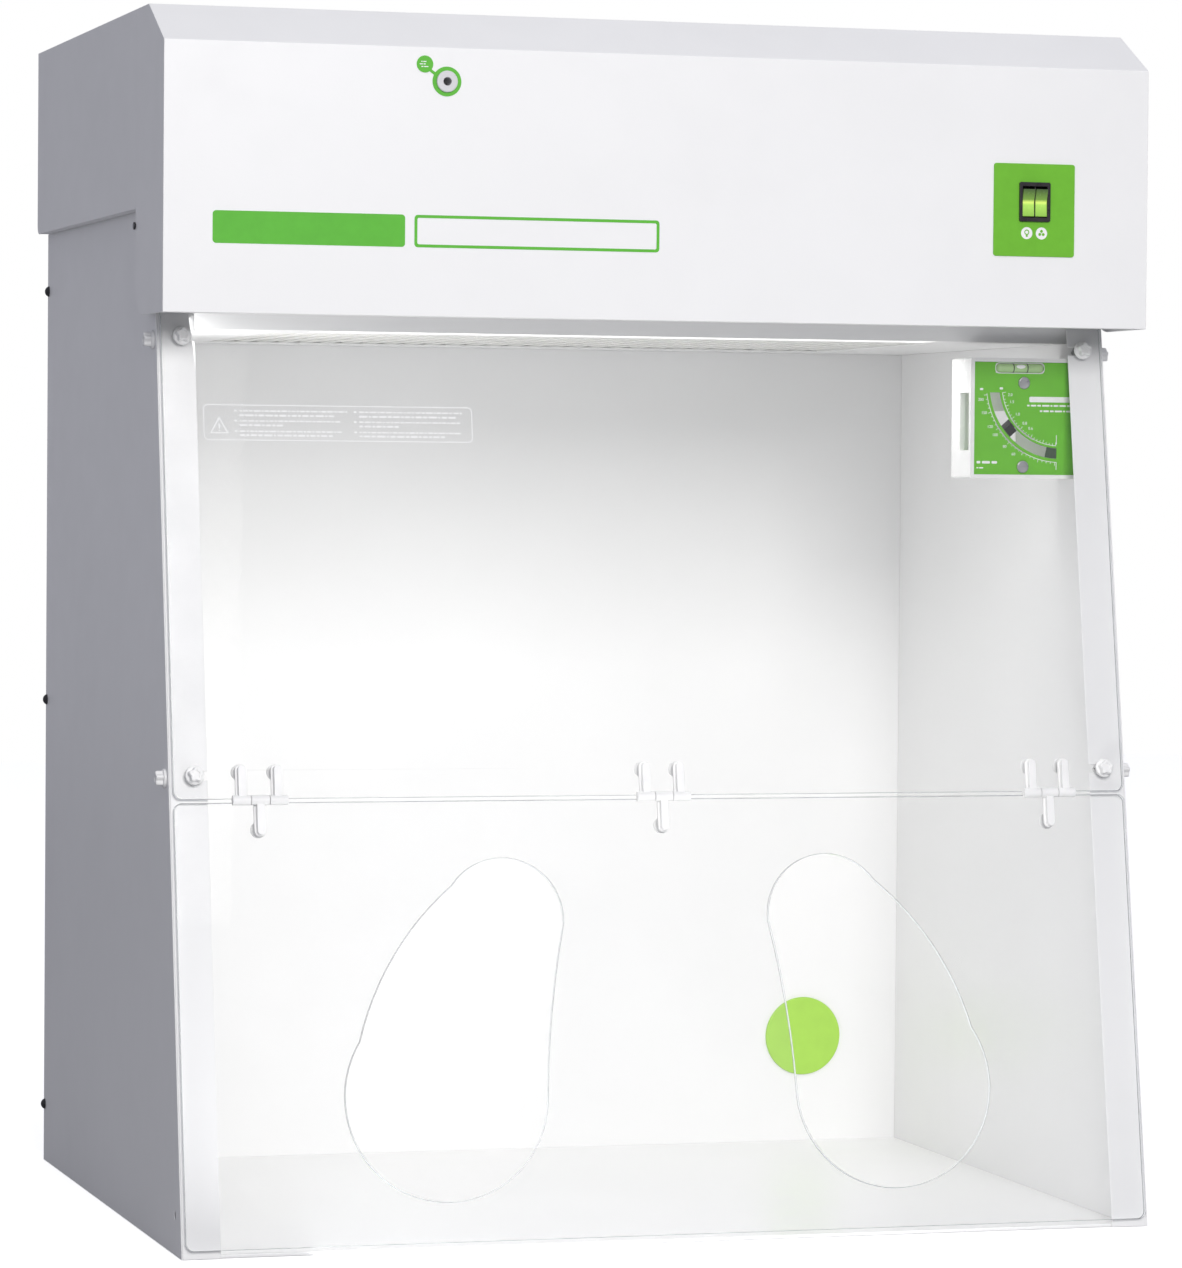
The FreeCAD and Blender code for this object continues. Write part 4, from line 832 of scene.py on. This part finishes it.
def make_dial_marks(materials):
    """Two scale arcs round the pointer's channel, with ticks, numbers and small print."""
    work = bmesh.new()
    for radius, width, start, end in SCALE_ARCS:
        add_slab(work, sector(radius * MM, (radius + width) * MM, start, end), 0, FILM)
    for index in range(TICKS + 1):
        angle = TICK_START + TICK_SPAN * index / TICKS
        longer = LONG_TICK_EXTRA if index % LONG_TICK_EVERY == 0 else 0.0
        for low, high in (
                (SCALE_OUTER - OUTER_TICK[0], SCALE_OUTER + OUTER_TICK[1] + longer),
                (SCALE_INNER - INNER_TICK[0] - longer, SCALE_INNER + INNER_TICK[1])):
            half = math.degrees(TICK_HALF_WIDTH / high)
            add_slab(work, sector(low * MM, high * MM, angle - half, angle + half, 1), 0, FILM)
    left, right = END_LINE_SIDES
    for low, high in END_LINES:
        add_slab(work, rounded_outline(left * MM, low * MM, right * MM, high * MM, 0.1 * MM, 2),
                 0, FILM)
    bar = [edge * MM for edge in NAME_BAR]
    add_slab(work, rounded_outline(*bar, NAME_BAR_ROUND, 4), 0, FILM)
    for left, right, middle, height in DIAL_LINES:
        add_words(work, left * MM, right * MM, middle * MM, height * MM, 0, FILM)
    level_low, level_high = (Vector(corner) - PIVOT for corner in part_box("gauge_level"))
    outlines = []
    for reach in LEVEL_LINE_REACHES:
        outlines.append(rounded_outline(level_low.x - reach, level_low.z - reach,
                                        level_high.x + reach, level_high.z + reach,
                                        LEVEL_LINE_ROUND))
    add_frame(work, outlines[0], outlines[1], 0, FILM)
    mesh = to_mesh("dial_scale", work, DIAL_FACE)
    add_piece("dial_scale", mesh, "hood", [materials["print_white"]])

    work = bmesh.new()
    for numbers, radius in ((OUTER_NUMBERS, SCALE_OUTER + NUMBER_OFF_SCALE),
                            (INNER_NUMBERS, SCALE_INNER - NUMBER_OFF_SCALE)):
        for offset, text in numbers:
            angle = math.radians(180.0 + offset)
            add_number(work, text, radius * MM * math.cos(angle), radius * MM * math.sin(angle))
    mesh = to_mesh("dial_numbers", work, DIAL_FACE)
    add_piece("dial_numbers", mesh, "hood", [materials["print_white"]])

    work = bmesh.new()
    add_slab(work, sector(*ZERO_PATCH, 8), ZERO_PATCH_BACK, ZERO_PATCH_FRONT)
    mesh = to_mesh("dial_zero_patch", work, DIAL_FACE)
    add_piece("dial_zero_patch", mesh, "hood", [materials["print_dark"]])


def add_number(work, text, x, y):
    """A printed number centred at a point of the dial."""
    curve = bpy.data.curves.new("number", "FONT")
    curve.body = text
    curve.size = NUMBER_SIZE
    curve.extrude = FILM / 2
    curve.align_x = "CENTER"
    curve.align_y = "CENTER"
    holder = bpy.data.objects.new("number", curve)
    bpy.context.scene.collection.objects.link(holder)
    bpy.context.view_layer.update()
    graph = bpy.context.evaluated_depsgraph_get()
    mesh = bpy.data.meshes.new_from_object(holder.evaluated_get(graph))
    bpy.data.objects.remove(holder)
    mesh.transform(Matrix.Translation((x, y, FILM / 2)))
    work.from_mesh(mesh)


RING_OFFSET = 6.5 * MM
# (share of the tube's radius, height) of each corner of a ring's section
RING_PROFILE = ((0.97, -0.5 * MM), (1.03, -0.4 * MM), (1.03, 0.4 * MM), (0.97, 0.5 * MM))
BUBBLE_HALF = 5.2 * MM
# The bubble's place and half sizes, as shares of the tube's radius.
BUBBLE_AHEAD = 0.72
BUBBLE_UP = 0.25
BUBBLE_DEEP = 0.42
BUBBLE_HIGH = 0.5


def make_level(materials):
    """The bubble and the two rings of the spirit level in the dial."""
    low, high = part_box("gauge_level")
    centre = (low + high) / 2
    radius = (high.z - low.z) / 2
    tube = Matrix.Translation(centre) @ Matrix.Rotation(math.pi / 2, 4, "Y")
    work = bmesh.new()
    for offset in (-RING_OFFSET, RING_OFFSET):
        lathe(work, [(radius * share, offset + height, False) for share, height in RING_PROFILE],
              32)
    mesh = to_mesh("level_rings", work, tube)
    add_piece("level_rings", mesh, "hood", [materials["black_plastic"]])
    work = bmesh.new()
    bmesh.ops.create_uvsphere(work, u_segments=32, v_segments=16, radius=1.0)
    middle = centre + Vector((0, -radius * BUBBLE_AHEAD, radius * BUBBLE_UP))
    place = (Matrix.Translation(middle)
             @ Matrix.Diagonal((BUBBLE_HALF, radius * BUBBLE_DEEP, radius * BUBBLE_HIGH, 1.0)))
    mesh = to_mesh("level_bubble", work, place)
    add_piece("level_bubble", mesh, "hood", [materials["print_white"]])


def paint_nodes(materials):
    """Every CAD node that still shows gets its slot's material."""
    for name, node in NODES.items():
        node.data.materials.clear()
        node.data.materials.append(materials[SLOT_OF[name]])


materials = make_materials()
make_camera()
make_lights()
make_floor(materials["floor"])
paint_nodes(materials)
make_refined(materials)
for joint in JOINTS:
    if "knob" in joint:
        make_knob(joint, materials)
make_header_print(materials)
make_window_label(materials)
make_switch_icons(materials)
make_dial_marks(materials)
make_level(materials)
